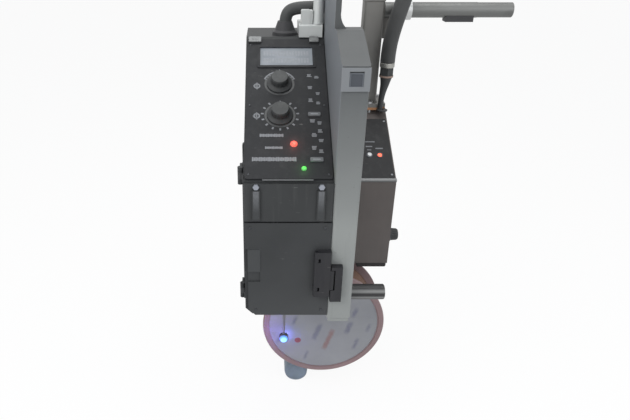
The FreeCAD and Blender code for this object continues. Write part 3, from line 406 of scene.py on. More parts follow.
def panelLenses(finish):
    # One node holds both panel lamps: the upper one red, the lower one green.
    low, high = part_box("panel_lamps")
    upper = finish.axis("Z").over((low.z + high.z) / 2)
    grain = finish.noise(400, 2).clip(0.35, 0.65)
    tone = finish.mix(upper, lamps["green"], lamps["red"])
    core = finish.mix(upper, lamps["greenCore"], lamps["redCore"])
    finish.set(colour=tone, rough=0.3, specular=0.2, glow=finish.mix(grain, tone, core),
               glowing=lamps["glowing"])


def windings(finish):
    # Copper-coated wire laid in close turns, seen as fine grooves about the spool's axis.
    pitch = 2.2 * mm
    turns = (finish.axis("Y") * (2 * math.pi / pitch)).wave()
    cloud = finish.noise(30)
    tone = finish.mix(turns.clip(-1, 1) * 0.6, (0.34, 0.17, 0.10), (0.12, 0.055, 0.03))
    finish.set(colour=tone, metal=0.6, rough=cloud * 0.2 + 0.3, normal=finish.bump(turns, 0.0006, 0.8))


def screenFace(finish):
    # Pale display with a cloudy light.
    cloud = finish.noise(26, 2)
    tone = finish.mix(cloud.clip(0.35, 0.65), (0.190, 0.212, 0.236), (0.240, 0.262, 0.290))
    finish.set(colour=tone, rough=cloud * 0.1 + 0.2, specular=0.2, glow=tone, glowing=0.06)


def finished(name, make, *values):
    finish = Finish(name)
    make(finish, *values)
    return finish.material


# Each maker's looks: a colour, and then that maker's other values in their order.
recipes = {
    brushed: {
        "tubeSteel": ((0.168, 0.172, 0.168), 0.42, 0.5, (2, 60, 60)),
        "stripMetal": ((0.165, 0.17, 0.172), 0.42, 0.35, (1, 60, 60)),
        "plateAlloy": ((0.55, 0.56, 0.56), 0.34, 0.15, (60, 60, 2)),
        "stemSteel": ((0.20, 0.20, 0.215), 0.4, 0.25, (2, 2, 60)),
        "gearSteel": ((0.36, 0.36, 0.37), 0.28, 0.25, (8, 30, 30)),
        "copperWire": ((0.155, 0.085, 0.058), 0.38, 0.25, (8, 8, 8), 0.5),
        "zincPlate": ((0.40, 0.41, 0.42), 0.3),
        "zincDull": ((0.34, 0.35, 0.37), 0.38),
        "ringAlloy": ((0.36, 0.358, 0.335), 0.4),
        "turnedBrass": ((0.62, 0.46, 0.20), 0.3, 0.2),
        "hingeSteel": ((0.075, 0.077, 0.08), 0.45, 0.5),
        "boltSteel": ((0.34, 0.36, 0.41), 0.34, 0.3),
        "blackScrew": ((0.06, 0.062, 0.066), 0.42),
        "weldMetal": ((0.15, 0.145, 0.135), 0.45, 0.4),
    },
    paint: {
        "postPaint": ((0.185, 0.180, 0.168), 0.5, 0.3, 0.4, 700),
        "housingPaint": ((0.046, 0.048, 0.049), 0.5, 0.05, 0.15),
        "motorPaint": ((0.035, 0.035, 0.038), 0.4, 0.15, 0.4, 500),
        "darkEnamel": ((0.020, 0.020, 0.023), 0.42, 0.04, 0.3, 600),
        "catchGrey": ((0.22, 0.23, 0.23), 0.5, 0.25, 0.4, 600),
    },
    casting: {
        "bracketPaint": ((0.215, 0.226, 0.238), 0.45),
        "lightCasting": ((0.60, 0.62, 0.61), 0.45, 0.3, 0.12),
    },
    moulding: {
        "sideFilm": ((0.040, 0.040, 0.041), 0.5, 0.06, 0.12),
        "panelFilm": ((0.030, 0.031, 0.033), 0.5, 0.04, 0.12),
        "coverPlastic": ((0.050, 0.052, 0.053), 0.5, 0.12, 0.15),
        "coverEdge": ((0.008, 0.008, 0.009), 0.7, 0.12, 0.05),
        "knobPlastic": ((0.052, 0.054, 0.055), 0.46, 0.05, 0.2),
        "knobCap": ((0.080, 0.083, 0.083), 0.5, 0.12, 0.15),
        "keyPlastic": ((0.150, 0.158, 0.166), 0.45, 0.12, 0.2),
        "darkSocket": ((0.060, 0.066, 0.078), 0.5),
        "socketRim": ((0.10, 0.11, 0.125), 0.5),
        "spoolPlastic": ((0.245, 0.165, 0.168), 0.4, 0.1),
        "spoolRib": ((0.245, 0.165, 0.168), 0.42),
    },
    rubber: {
        "brownSeal": ((0.24, 0.165, 0.135), 0.6),
        "blackRubber": ((0.022, 0.022, 0.024), 0.62),
        "conduitRubber": ((0.030, 0.032, 0.032), 0.58),
        "hoseRubber": ((0.030, 0.031, 0.031), 0.6),
        "bumperRubber": ((0.130, 0.165, 0.205), 0.55),
    },
    lit: {"redLens": ((0.85, 0.10, 0.05), (1, 0.22, 0.12), 1.6)},
    plain: {
        "padBoard": ((0.45, 0.22, 0.10), 0.6, 0.25),
        "whiteCap": ((0.78, 0.80, 0.80), 0.35, 0.06),
        "whitePrint": ((0.30, 0.315, 0.33), 0.6, 0.1),
        "dimPrint": ((0.195, 0.204, 0.218), 0.6, 0.1),
        "faintPrint": ((0.085, 0.088, 0.092), 0.6, 0.1),
        "dialGrey": ((0.060, 0.063, 0.064), 0.55, 0.15),
        "screenCell": ((0.215, 0.235, 0.26), 0.4, 0.15),
        "redInk": ((0.26, 0.075, 0.09), 0.5, 0.15),
    },
}
looks = {look: finished(look, make, *values)
         for make, group in recipes.items() for look, values in group.items()}
for look, make in (("pegSteel", pegFinish), ("columnPaint", columnFinish), ("coverWorn", coverFinish),
                   ("screenFace", screenFace), ("panelLenses", panelLenses), ("blueLens", lensFinish),
                   ("sideBrown", sideFinish), ("windings", windings), ("labelPrint", strokePrint),
                   ("wornStrip", stripFinish)):
    looks[look] = finished(look, make)

# The record's finish that each look of an added piece belongs to.
wears = {
    "tubeSteel": "boom_tube", "pegSteel": "rest_peg", "postPaint": "boom_post",
    "padBoard": "insulator_pad", "zincPlate": "frame_bolts hose_coupling spindle",
    "hingeSteel": "door_hinges", "columnPaint": "column_casting column_back spool_arm",
    "bracketPaint": "column_bracket", "housingPaint": "main_housing side_door",
    "coverPlastic": "upper_front_cover", "coverWorn": "lower_front_cover", "panelFilm": "main_panel",
    "sideFilm": "side_panel", "ringAlloy": "gland_ring", "screenFace": "screen_glass",
    "stemSteel": "lamp_stem",
    "knobPlastic": "upper_knob lower_knob side_knob tension_knob hose_gland spool_hub",
    "keyPlastic": "mode_key test_key", "redLens": "side_lamp", "panelLenses": "panel_lamps",
    "blueLens": "lamp_lens", "whiteCap": "side_key", "blackRubber": "tube_pad conduit_boot",
    "conduitRubber": "conduit", "darkEnamel": "clamp_lever clamp_base clamp_keeper",
    "stripMetal": "seam_strip panel_catches", "boltSteel": "front_bolts", "hoseRubber": "cable_hose",
    "lightCasting": "hanger_block lifting_post pressure_arm", "plateAlloy": "feed_plate hose_bracket",
    "motorPaint": "gear_motor", "gearSteel": "motor_pinion drive_roll idler_roll",
    "sideBrown": "side_housing", "bumperRubber": "arm_bumper", "spoolPlastic": "spool_body",
    "windings": "wound_wire welding_wire", "labelPrint": "spool_label",
    "turnedBrass": "roll_screw wire_guides",
}
wornBy = {node: look for look, group in wears.items() for node in group.split()}
for node, look in wornBy.items():
    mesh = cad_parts[node].data
    mesh.materials.clear()
    mesh.materials.append(looks[look])
print("finishes on", len(wornBy), "of", len(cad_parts), "nodes")


def linked(name, data):
    # A new object in the scene.
    made = bpy.data.objects.new(name, data)
    bpy.context.scene.collection.objects.link(made)
    return made


def meshOf(name, work):
    bmesh.ops.recalc_face_normals(work, faces=work.faces)
    mesh = bpy.data.meshes.new(name)
    work.to_mesh(mesh)
    work.free()
    return mesh


def modelled(made):
    # The mesh that an object's curve or modifiers come to.
    return bpy.data.meshes.new_from_object(made.evaluated_get(bpy.context.evaluated_depsgraph_get()))


def settle(made, smooth, body):
    for face in made.data.polygons:
        face.use_smooth = smooth
    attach(made, body)


def finishPiece(name, work, look, place=None, smooth=False, body="frame"):
    # A bmesh in metres becomes a named piece that rides on a body.
    if place:
        bmesh.ops.transform(work, matrix=place, verts=work.verts)
    made = linked(name, meshOf(name, work))
    made.data.materials.append(looks[look])
    settle(made, smooth, body)
    return made


def ease(work, edges, bevel):
    bmesh.ops.bevel(work, geom=edges, offset=bevel * mm, segments=2, affect="EDGES", profile=0.5)


def slab(work, x0, x1, y0, y1, z0, z1, bevel=0.0):
    # A box, its edges eased.
    size = ((x1 - x0) * mm, (y1 - y0) * mm, (z1 - z0) * mm)
    centre = Vector(((x0 + x1) / 2, (y0 + y1) / 2, (z0 + z1) / 2)) * mm
    place = Matrix.Translation(centre) @ Matrix.Diagonal((*size, 1))
    made = bmesh.ops.create_cube(work, size=1.0, matrix=place)
    if bevel:
        ease(work, list({edge for vert in made["verts"] for edge in vert.link_edges}), bevel)
    return made["verts"]


def disc(work, x, y, z, radius, high, sides=24):
    bmesh.ops.create_cone(work, cap_ends=True, segments=sides, radius1=radius * mm, radius2=radius * mm,
                          depth=high * mm, matrix=shift(x, y, z + high / 2))


def ringBand(work, x, y, z, inner, outer, high, sides=48, start=0.0, sweep=360.0):
    # A flat ring, or a part of one.
    steps = max(2, round(sides * sweep / 360))
    closed = sweep >= 360
    rows = []
    for n in range(steps if closed else steps + 1):
        way = wayAt(math.radians(start + sweep * n / steps))
        rows.append([work.verts.new((Vector((x, y, z + lift)) + way * radius) * mm)
                     for radius, lift in ((inner, 0), (outer, 0), (outer, high), (inner, high))])
    joinRows(work, rows, closed)
    if not closed:
        work.faces.new(rows[0])
        work.faces.new(rows[-1][::-1])


def joinRows(work, rows, closed):
    # Faces between each row of corners and the next.
    count = len(rows[0])
    pairs = list(zip(rows, rows[1:])) + ([(rows[-1], rows[0])] if closed else [])
    for one, two in pairs:
        for a in range(count):
            b = (a + 1) % count
            work.faces.new((one[a], one[b], two[b], two[a]))


def shapesOf(*shapes):
    # Each shape is given as its maker and that maker's sizes.
    work = bmesh.new()
    for make, *sizes in shapes:
        make(work, *sizes)
    return work


def piece(name, look, place, *shapes, body="frame"):
    finishPiece(name, shapesOf(*shapes), look, place, body=body)


def middleOf(node):
    low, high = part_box(node)
    return (low + high) / 2


def faceOf(node, axis, end):
    # Middle of one face of a node's box; end 0 is its low side and 1 its high side.
    place = middleOf(node)
    place[axis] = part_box(node)[end][axis]
    return Matrix.Translation(place)


def makeRowTree():
    # Copies of a seed object along an arc or a straight stack, each turned to face its own angle.
    tree = bpy.data.node_groups.new("rowOfPieces", "GeometryNodeTree")
    face = tree.interface
    for name, kind in (("Geometry", "Geometry"), ("Seed", "Object"), ("Count", "Int"), ("Radius", "Float"),
                       ("Start", "Float"), ("Step", "Float"), ("Rise", "Float"), ("Look", "Material")):
        face.new_socket(name=name, in_out="INPUT", socket_type="NodeSocket" + kind)
    face.new_socket(name="Geometry", in_out="OUTPUT", socket_type="NodeSocketGeometry")
    graph = Graph(tree)
    entry = tree.nodes.new("NodeGroupInput")
    given = {socket.name: Link(graph, socket) for socket in entry.outputs if socket.name}
    index = graph.add("GeometryNodeInputIndex")
    angle = index * given["Step"] + given["Start"]
    across = graph.sums("COSINE", angle, 0.0) * given["Radius"]
    along = angle.wave() * given["Radius"]
    place = graph.add("ShaderNodeCombineXYZ", {0: across, 1: along, 2: index * given["Rise"]})
    line = graph.add("GeometryNodeMeshLine", {"Count": given["Count"], "Offset": (0, 0, 0)})
    line = graph.add("GeometryNodeSetPosition", {"Geometry": line, "Position": place})
    turn = graph.add("ShaderNodeCombineXYZ", {2: angle})
    seed = graph.add("GeometryNodeObjectInfo", {"Object": given["Seed"]}, "Geometry")
    rows = graph.add("GeometryNodeInstanceOnPoints", {"Points": line, "Instance": seed, "Rotation": turn})
    solid = graph.add("GeometryNodeRealizeInstances", {0: rows})
    done = graph.add("GeometryNodeSetMaterial", {"Geometry": solid, "Material": given["Look"]})
    leave = tree.nodes.new("NodeGroupOutput")
    tree.links.new(done.socket, leave.inputs[0])
    return tree


rowTree = makeRowTree()
rowSockets = {item.name: item.identifier for item in rowTree.interface.items_tree if item.in_out == "INPUT"}


def rowOf(name, seed, look, place, count, radius=0.0, start=0.0, step=0.0, rise=0.0, smooth=False,
          body="frame"):
    # seed is a bmesh in metres that's used up; angles are in degrees.
    seedObject = linked(name + "Seed", meshOf(name + "Seed", seed))
    holder = linked(name, bpy.data.meshes.new(name))
    row = holder.modifiers.new("row", "NODES")
    row.node_group = rowTree
    values = {"Seed": seedObject, "Count": count, "Radius": radius * mm, "Start": math.radians(start),
              "Step": math.radians(step), "Rise": rise * mm, "Look": looks[look]}
    for key, value in values.items():
        row[rowSockets[key]] = value
    mesh = modelled(holder)
    holder.modifiers.remove(row)
    mesh.transform(place)
    holder.data = mesh
    bpy.data.objects.remove(seedObject)
    settle(holder, smooth, body)


def rowAcross(name, seed, look, place, count, pitch):
    # The tree stacks upwards, so the seed and the row are turned to run along X.
    seed.transform(turned(-90, "Y"))
    rowOf(name, seed, look, place @ turned(90, "Y"), count, rise=pitch)


def screwHead(work, place, radius, high):
    # Domed head, built about +Z at place.
    made = bmesh.ops.create_uvsphere(work, u_segments=24, v_segments=12, radius=1.0)
    for vert in made["verts"]:
        vert.co.z = max(vert.co.z, 0.0)
        vert.co = Vector((vert.co.x * radius, vert.co.y * radius, vert.co.z ** 0.8 * high)) * mm
    bmesh.ops.remove_doubles(work, verts=made["verts"], dist=1e-7)
    verts = [vert for vert in made["verts"] if vert.is_valid]
    bmesh.ops.transform(work, matrix=place, verts=verts)


def screws(name, places, look, radius, high, body="frame"):
    # Screw heads, and the cross in each as a dark piece of its own.
    work = bmesh.new()
    crosses = bmesh.new()
    for place in places:
        screwHead(work, place, radius, high)
        for turn in (20, 110):
            arm = Matrix.Diagonal((radius * 1.1 * mm, radius * 0.24 * mm, 0.45 * mm, 1))
            bmesh.ops.create_cube(crosses, size=1.0,
                                  matrix=place @ turned(turn, "Z") @ shift(0, 0, high - 0.1) @ arm)
    finishPiece(name, work, look, smooth=True, body=body)
    finishPiece(name + "Slots", crosses, "darkSocket", body=body)


def wallPlaces(degrees, axis, xs, ys, zs):
    turn = turned(degrees, axis)
    return [Matrix.Translation(Vector((x, y, z))) @ turn for x in xs for y in ys for z in zs]


def panelSpot(x, up, out=0.0):
    return panelPlace @ shift(x, up, out)


panelInk = {
    "sunk": -0.05, "skin": 0.18,  # print's foot and its top, from the film
    "bars": ((-53, -8, 96, 108), (-43, -10, 69, 78), (-67, 15, 40, 55)),  # left, right, low, high
    "barPitch": 3.1, "barShort": (0.20, 0.25, 0.22, 0.27, 0.21),
    "footLine": (-48, 44, 1.0, 3.8),
    # Marks of three short lines each: left, low, width and height.
    "marks": ((41, 249, 10, 8), (56, 245, 9, 7), (42, 217, 9, 8), (57, 202, 9, 7), (42, 184, 9, 9),
              (57, 178, 8, 7), (43, 133, 10, 8), (57, 128, 9, 8), (57, 109, 9, 8), (45, 99, 10, 9),
              (58, 87, 9, 7), (44, 69, 10, 9), (57, 62, 9, 8)),
}
sunk, skin = panelInk["sunk"], panelInk["skin"]


def printed(x0, x1, low, high):
    return (slab, x0, x1, low, high, sunk, skin)


def makePanelPrint():
    # Plain bars and short strokes where the panel has its printed lines.
    strokes = []
    for x0, x1, low, high in panelInk["bars"]:
        count = round((x1 - x0) / panelInk["barPitch"])
        pitch = (x1 - x0) / count
        for n in range(count):
            short = panelInk["barShort"][n % 5] * (high - low)
            strokes.append(printed(x0 + n * pitch, x0 + (n + 0.9) * pitch, low + short, high - short * 0.9))
    piece("panelBars", "dimPrint", panelPlace, *strokes)
    piece("panelLines", "faintPrint", panelPlace, printed(*panelInk["footLine"]))
    lines = []
    for n, (x, up, wide, high) in enumerate(panelInk["marks"]):
        for line in range(3):
            inset = ((n * 5 + line * 3) % 4) * 0.07 * wide
            foot = up + high * line / 3
            lines.append(printed(x + inset * 0.5, x + wide - inset, foot, foot + high * 0.26))
    piece("panelMarks", "dimPrint", panelPlace, *lines)
    print("panel print made")


dials = {
    "x": -14, "upper": 231, "lower": 151,  # the two knobs' axes
    "face": (25.6, 30.0, 0.13),  # inner radius, outer radius and thickness
    "arc": (30.6, 33.6), "arcStart": 22, "arcSweep": 136,
    "spokes": 11, "spokeStep": 13.6, "spoke": (27.5, 31, 0.5),
    # A row is given by its count, radius, first angle and step, here and below.
    "block": (2.6, 1.7), "blocks": (13, 34.5, -234, 24.0),
    "signX": -59, "signRing": (3.8, 6.8), "signBar": (1.2, 8.6), "signDash": (7.5, 2.5, 1.2),
    "signs": {"feedSign": 225, "voltSign": 149},
}


def spoke(work, x, y, degrees, near, far, half):
    # A stroke that points away from a dial's middle.
    verts = slab(work, near, far, -half, half, sunk, skin)
    bmesh.ops.transform(work, matrix=shift(x, y, 0) @ turned(degrees, "Z"), verts=verts)


def makeDialPrint():
    # Arc over the upper knob, ring of blocks round the lower one, and a plain sign beside each.
    x, upper, lower = dials["x"], dials["upper"], dials["lower"]
    inner, outer, thick = dials["face"]
    piece("dialFaces", "dialGrey", panelPlace,
          *[(ringBand, x, up, sunk, inner, outer, thick, 72) for up in (upper, lower)])
    start, step = dials["arcStart"], dials["spokeStep"]
    arc = (ringBand, x, upper, sunk, *dials["arc"], skin + 0.05, 96, start, dials["arcSweep"])
    spokes = [(spoke, x, upper, start + step * n, *dials["spoke"]) for n in range(dials["spokes"])]
    piece("feedScale", "dimPrint", panelPlace, arc, *spokes)
    wide, high = dials["block"]
    rowOf("voltScale", shapesOf(printed(-wide, wide, -high, high)), "dimPrint", panelSpot(x, lower),
          *dials["blocks"])
    for name, up in dials["signs"].items():
        left = dials["signX"]
        barHalf, barHigh = dials["signBar"]
        far, near, dashHalf = dials["signDash"]
        piece(name, "dimPrint", panelPlace,
              (ringBand, left, up, sunk, *dials["signRing"], skin + 0.05, 28),
              printed(left - barHalf, left + barHalf, up - barHigh, up + barHigh),
              printed(left - far, left - near, up - dashHalf, up + dashHalf))
    print("dials made")


knobs = {
    "grip": 18.0, "high": 21.0, "sideGrip": 14.5,
    "cap": (2.2, 0.1, 0.7),  # inset from the grip, how deep it's let in, and thickness
    # Half width, start as a share of the grip's radius, inset from it, and depths of foot and top.
    "pointer": (0.75, 0.42, 0.4, 0.7, 0.05),
}


def makeKnobTrim(name, body, place, grip, high):
    # A paler cap let into the knob's top, with its pointer.
    inset, deep, thick = knobs["cap"]
    piece(name + "Cap", "knobCap", place, (disc, 0, 0, high - deep, grip - inset, thick, 48), body=body)
    half, share, inset, low, top = knobs["pointer"]
    pointer = (slab, -half, half, grip * share, grip - inset, high - low, high - top)
    piece(name + "Pointer", "whitePrint", place, pointer, body=body)


def makeKnobs():
    for side in ("upper", "lower"):
        place = panelSpot(dials["x"], dials[side])
        makeKnobTrim(side + "Knob", side + "_knob", place, knobs["grip"], knobs["high"])
    middle = middleOf("side_knob")
    place = Matrix.Translation(Vector((sideHigh.x, middle.y, middle.z))) @ turned(90, "Y")
    high = (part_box("side_knob")[1].x - sideHigh.x) / mm
    makeKnobTrim("sideKnob", "side_knob", place, knobs["sideGrip"], high)


screen = {"back": 55.3, "high": 53, "rows": (10, 30), "left": -46, "cells": 16, "pitch": 5.9,
          "cell": (4.6, 13), "levels": (-0.85, -0.72)}


def makeScreenCells(back, high, rows, left, cells, pitch, cell, levels):
    # Two rows of faint character cells.
    low = slopeLong - back - high / 2
    wide, tall = cell
    for row, up in enumerate(rows):
        rowAcross("screenRow" + str(row), shapesOf((slab, 0, wide, 0, tall, *levels)), "screenCell",
                  panelSpot(left, low + up), cells, pitch)


panelTrim = {
    "screwX": (-73, 73), "screwUp": (14, 175, 338),
    "screw": (2.6, 1.3),  # head's radius and height, here and below
    "catches": {"leftCatchRibs": -64, "rightCatchRibs": 59.5},
    "rib": (0.5, 3.2, 0.7, 0.2),  # half width, half length, height and eased edge
    "ribs": 5, "ribPitch": 2.25, "ribBack": 9, "ribOut": 4.95,
    "dashes": {"mode_key": ("modeKeyDash", 152), "test_key": ("testKeyDash", 46)},
    "dash": (45, 59, 0.8, 2.6, 2.78),  # left, right, half height, foot and top
}


def makePanelTrim(screwX, screwUp, screw, catches, rib, ribs, ribPitch, ribBack, ribOut, dashes, dash):
    # Corner screws, ribs on the two catches and a dash on each key.
    screws("panelScrews", [panelSpot(x, up) for x in screwX for up in screwUp], "blackScrew", *screw)
    half, halfLong, high, eased = rib
    for name, x in catches.items():
        place = panelSpot(x - ribPitch * (ribs - 1) / 2, slopeLong - ribBack, ribOut)
        seed = shapesOf((slab, -half, half, -halfLong, halfLong, 0, high, eased))
        rowAcross(name, seed, "catchGrey", place, ribs, ribPitch)
    left, right, half, low, top = dash
    for body, (name, up) in dashes.items():
        piece(name, "whitePrint", panelPlace, (slab, left, right, up - half, up + half, low, top), body=body)


plug = {
    "x": 1, "z": -1, "block": (-11.6, 11.6, -0.4, 1.4, -12.1, 12.1, 0.6),
    "rim": (11.8, 12.3, 2.4),  # half width, half height and breadth
    "levels": (-1.3, 0.2), "eased": 0.35,
}


def makeBracketPlug(x, z, block, rim, levels, eased):
    # Dark plastic plug pressed into the column bracket's square socket, with a raised rim.
    place = Matrix.Translation(middleOf("column_bracket")) @ shift(x, 0, z)
    piece("bracketPlug", "darkSocket", place, (slab, *block))
    wide, high, broad = rim
    inner, low = wide - broad, high - broad
    piece("bracketPlugRim", "socketRim", place,
          *[(slab, x0, x1, *levels, z0, z1, eased)
            for x0, x1, z0, z1 in ((-wide, -inner, -high, high), (inner, wide, -high, high),
                                   (-inner, inner, -high, -low), (-inner, inner, low, high))])


coverTrim = {
    "strips": (-59.5, 59.5), "stripHalf": 5.2, "stripLevels": (-3.62, -3.45), "stripRise": (-76, -19.5),
    "ledge": (-81.5, 81.5, -0.6, 0.4, -85.2, -82.8, 0.15),
    "screwSpots": ((70, -96), (-72, -96), (-62, -284), (70, -284)), "screw": (3.0, 1.5),
}


def makeCoverTrim(strips, stripHalf, stripLevels, stripRise, ledge, screwSpots, screw):
    # Paler wear strips down the bolt bosses, the shallow ledge over the seam and the covers' screws.
    piece("bossStrips", "wornStrip", datumPlace,
          *[(slab, x - stripHalf, x + stripHalf, *stripLevels, *stripRise) for x in strips])
    piece("coverLedge", "coverEdge", datumPlace, (slab, *ledge))
    places = [Matrix.Translation(spot(x, 0, z)) @ turned(90, "X") for x, z in screwSpots]
    screws("coverScrews", places, "blackScrew", *screw)


def weldBead(name, points, radius):
    # Overlapping scales of weld metal round a closed line.
    work = bmesh.new()
    for start, end in zip(points, points[1:] + points[:1]):
        count = max(2, round((end - start).length / (radius * 0.9)))
        along = (end - start).normalized().to_track_quat("Z", "Y").to_matrix().to_4x4()
        for n in range(count):
            swell = 1 + 0.12 * math.sin(n * 2.4 + start.x * 9000)
            scale = Matrix.Diagonal((radius * swell, radius * swell, radius * 0.62, 1))
            place = Matrix.Translation(start.lerp(end, (n + 0.5) / count)) @ along @ scale
            bmesh.ops.create_uvsphere(work, u_segments=10, v_segments=6, radius=1.0, matrix=place)
    finishPiece(name, work, "weldMetal", smooth=True)


weld = {"x": 206.5, "y": 440, "abovePad": 8, "wide": 23, "deep": 20, "postBead": 2.3,
        "tubeUp": 236, "tubeOut": 0.6, "tubeRadius": 17.4, "tubeBead": 1.7, "steps": 24}


def makeWelds(x, y, abovePad, wide, deep, postBead, tubeUp, tubeOut, tubeRadius, tubeBead, steps):
    # A bead round the post's foot, wide and deep from its middle, and one where the tube meets the post.
    foot = Vector((spot(x, 0, 0).x, spot(0, y, 0).y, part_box("insulator_pad")[1].z))
    corners = [foot + Vector((x, y, abovePad)) * mm
               for x, y in ((-wide, -deep), (wide, -deep), (wide, deep), (-wide, deep))]
    weldBead("postWeld", corners, postBead * mm)
    seam = []
    for n in range(steps):
        angle = 2 * math.pi * n / steps
        seam.append(spot(x + wide + tubeOut, y + tubeRadius * math.cos(angle),
                         tubeUp + tubeRadius * math.sin(angle)))
    weldBead("tubeWeld", seam, tubeBead * mm)
    print("welds made")


winding = {"margin": 2.4, "inset": 1.5, "pitch": 1.25, "thick": 0.62, "sides": 6, "steps": 120}


def makeWinding(margin, inset, pitch, thick, sides, steps):
    # Close turns of copper-coated wire over the solid winding.
    low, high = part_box("wound_wire")
    radius = (high.x - low.x) / 2 / mm
    wide = (high.y - low.y) / mm - margin
    turns = round(wide / pitch)
    seed = bmesh.new()
    rows = []
    for n in range(steps):
        way = wayAt(2 * math.pi * n / steps)
        rows.append([])
        for k in range(sides):
            about = wayAt(2 * math.pi * k / sides) * thick
            corner = way * (radius + about.x)
            corner.z = about.y
            rows[-1].append(seed.verts.new(corner * mm))
    joinRows(seed, rows, True)
    place = faceOf("wound_wire", 1, 1) @ shift(0, -inset, 0) @ turned(90, "X")
    rowOf("wireTurns", seed, "copperWire", place, turns, rise=wide / (turns - 1), smooth=True, body="spool")
    print("winding made,", turns, "turns")


spoolTrim = {
    "rib": (0, 84, -1.6, 1.6, -0.6, 1.5, 0.5), "ribs": (12, 46, 15, 30),
    "bead": (134.2, 136.6, 1.0),  # inner radius, outer radius and height
    "dot": (-62, -50, -1.02, 8.0, 0.12),  # across, up, level, radius and thickness
}


def makeSpoolTrim(rib, ribs, bead, dot):
    # Moulded ribs on the rear flange, a bead round the label and a plain dot of red on it.
    back = faceOf("spool_body", 1, 1) @ turned(-90, "X")
    front = faceOf("spool_body", 1, 0) @ turned(90, "X")
    rowOf("flangeRibs", shapesOf((slab, *rib)), "spoolRib", back, *ribs, body="spool")
    piece("labelBead", "spoolRib", front, (ringBand, 0, 0, -1.0, *bead, 96), body="spool")
    piece("labelDot", "redInk", front, (disc, *dot, 32), body="spool")


def lampOf(name, kind, place, power, colour):
    light = bpy.data.lights.new(name, kind)
    light.energy = power
    light.color = colour
    lamp = linked(name, light)
    lamp.location = place
    return lamp


def glowLight(name, place, power, colour):
    # A small light standing just off a lit lens.
    lampOf(name, "POINT", place, power, colour).data.shadow_soft_size = 0.006


workLamp = {
    "rib": (9.5, 11.6, 1.0), "ribs": 3, "ribPitch": 2.2, "ribBack": 7.5,
    # Each light's place from the lens, whose front or back it stands off, its power and colour.
    "lampLight": ((-28, -4, -10), 0, 0.085, (0.32, 0.20, 1.0)),
    "lampSpill": ((9, 14, -12), 1, 0.034, (0.16, 0.20, 1.0)),
}


def makeLamp():
    # Cooling ribs on the work lamp, and its light.
    place = faceOf("lamp_lens", 1, 1) @ turned(90, "X") @ shift(0, 0, -workLamp["ribBack"])
    rowOf("lampRibs", shapesOf((ringBand, 0, 0, 0, *workLamp["rib"], 32)), "darkSocket", place,
          workLamp["ribs"], rise=workLamp["ribPitch"])
    for name in ("lampLight", "lampSpill"):
        offset, end, power, colour = workLamp[name]
        glowLight(name, (faceOf("lamp_lens", 1, end) @ shift(*offset)).translation, power, colour)


sideTrim = {
    "film": 2.95, "strokes": ((62, 96, 15, 3), (84, 90, 17, 3.4), (64, 86, 10, 2.4), (62, 110, 22, 3)),
    "strokeHigh": 0.2,
    "rings": {"sideKeyRing": 68, "sideLampRing": 92}, "ringUp": 72, "ring": (5.6, 7.4, 0.9),
    "screwX": (9, 113), "screwUp": (16, 176), "screw": (2.6, 1.3),
    "wall": (12, 14, 24, 200),  # screws' insets from front and back, and their heights
    "wallScrew": (3.4, 1.8),
}


def makeSideTrim(film, strokes, strokeHigh, rings, ringUp, ring, screwX, screwUp, screw, wall, wallScrew):
    # Plain strokes over the companion's key and lamp, a ring round each, and screws.
    piece("sidePrint", "dimPrint", sidePlace,
          *[(slab, x, x + wide, up, up + high, film, film + strokeHigh) for x, up, wide, high in strokes])
    for name, x in rings.items():
        piece(name, "darkSocket", sidePlace, (ringBand, x, ringUp, film, *ring, 40))
    places = [sidePlace @ shift(x, up, 3) for x in screwX for up in screwUp]
    screws("sideScrews", places, "zincDull", *screw)
    front, back, low, high = wall
    places = wallPlaces(90, "Y", (sideHigh.x,), (sideLow.y + front * mm, sideHigh.y - back * mm),
                        (sideLow.z + low * mm, sideLow.z + high * mm))
    screws("sideWallScrews", places, "zincDull", *wallScrew)


door = {"pull": 2.5, "front": 60, "back": 14, "edge": 16, "screw": (4.2, 1.9)}


def makeDoorTrim(pull, front, back, edge, screw):
    # Screws near the door's corners; pull is how far the pull stands out from its skin.
    low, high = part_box("side_door")
    places = wallPlaces(-90, "Y", (high.x - pull * mm,), (low.y + front * mm, high.y - back * mm),
                        (low.z + edge * mm, high.z - edge * mm))
    screws("doorScrews", places, "zincDull", *screw, body="side_door")


def tubeOf(name, points, radii, look, node):
    # A smooth hose along a route, standing for the solid of the same run.
    route = bpy.data.curves.new(name, "CURVE")
    route.dimensions = "3D"
    route.bevel_depth = 1.0
    route.bevel_resolution = 12
    route.use_fill_caps = True
    route.resolution_u = 16
    line = route.splines.new("NURBS")
    line.points.add(len(points) - 1)
    for point, place, radius in zip(line.points, points, radii):
        point.co = (*place[0:3], place[3] if len(place) > 3 else 1.0)
        point.radius = radius * mm
    line.order_u = 3
    line.use_endpoint_u = True
    holder = linked(name + "Route", route)
    mesh = modelled(holder)
    bpy.data.objects.remove(holder)
    work = bmesh.new()
    work.from_mesh(mesh)
    bmesh.ops.remove_doubles(work, verts=work.verts, dist=1e-6)
    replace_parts(finishPiece(name, work, look, smooth=True), node)


hose = {"x": 242.5, "y": 398, "foot": 126,
        "route": ((0, 0), (0, 30), (6, 70), (16, 112), (27, 154), (34, 199)),  # lean and rise from the foot
        "radii": (17, 17, 17.2, 17.6, 17.8, 17)}
conduit = {"y": 342, "boot": 198, "neckUp": 254, "neckX": 88.5, "radius": 13, "cornerPull": 3.0}


def makeHoses():
    points = [spot(hose["x"] + over, hose["y"], hose["foot"] + up) for over, up in hose["route"]]
    tubeOf("cableHose", points, hose["radii"], "hoseRubber", "cable_hose")
    y, up = conduit["y"], conduit["neckUp"]
    bend = [(*spot(0, y, conduit["boot"]), 1.0), (*spot(0, y, up), conduit["cornerPull"]),
            (*spot(conduit["neckX"], y, up), 1.0)]
    tubeOf("conduitHose", bend, (conduit["radius"],) * 3, "conduitRubber", "conduit")
    print("hoses made")


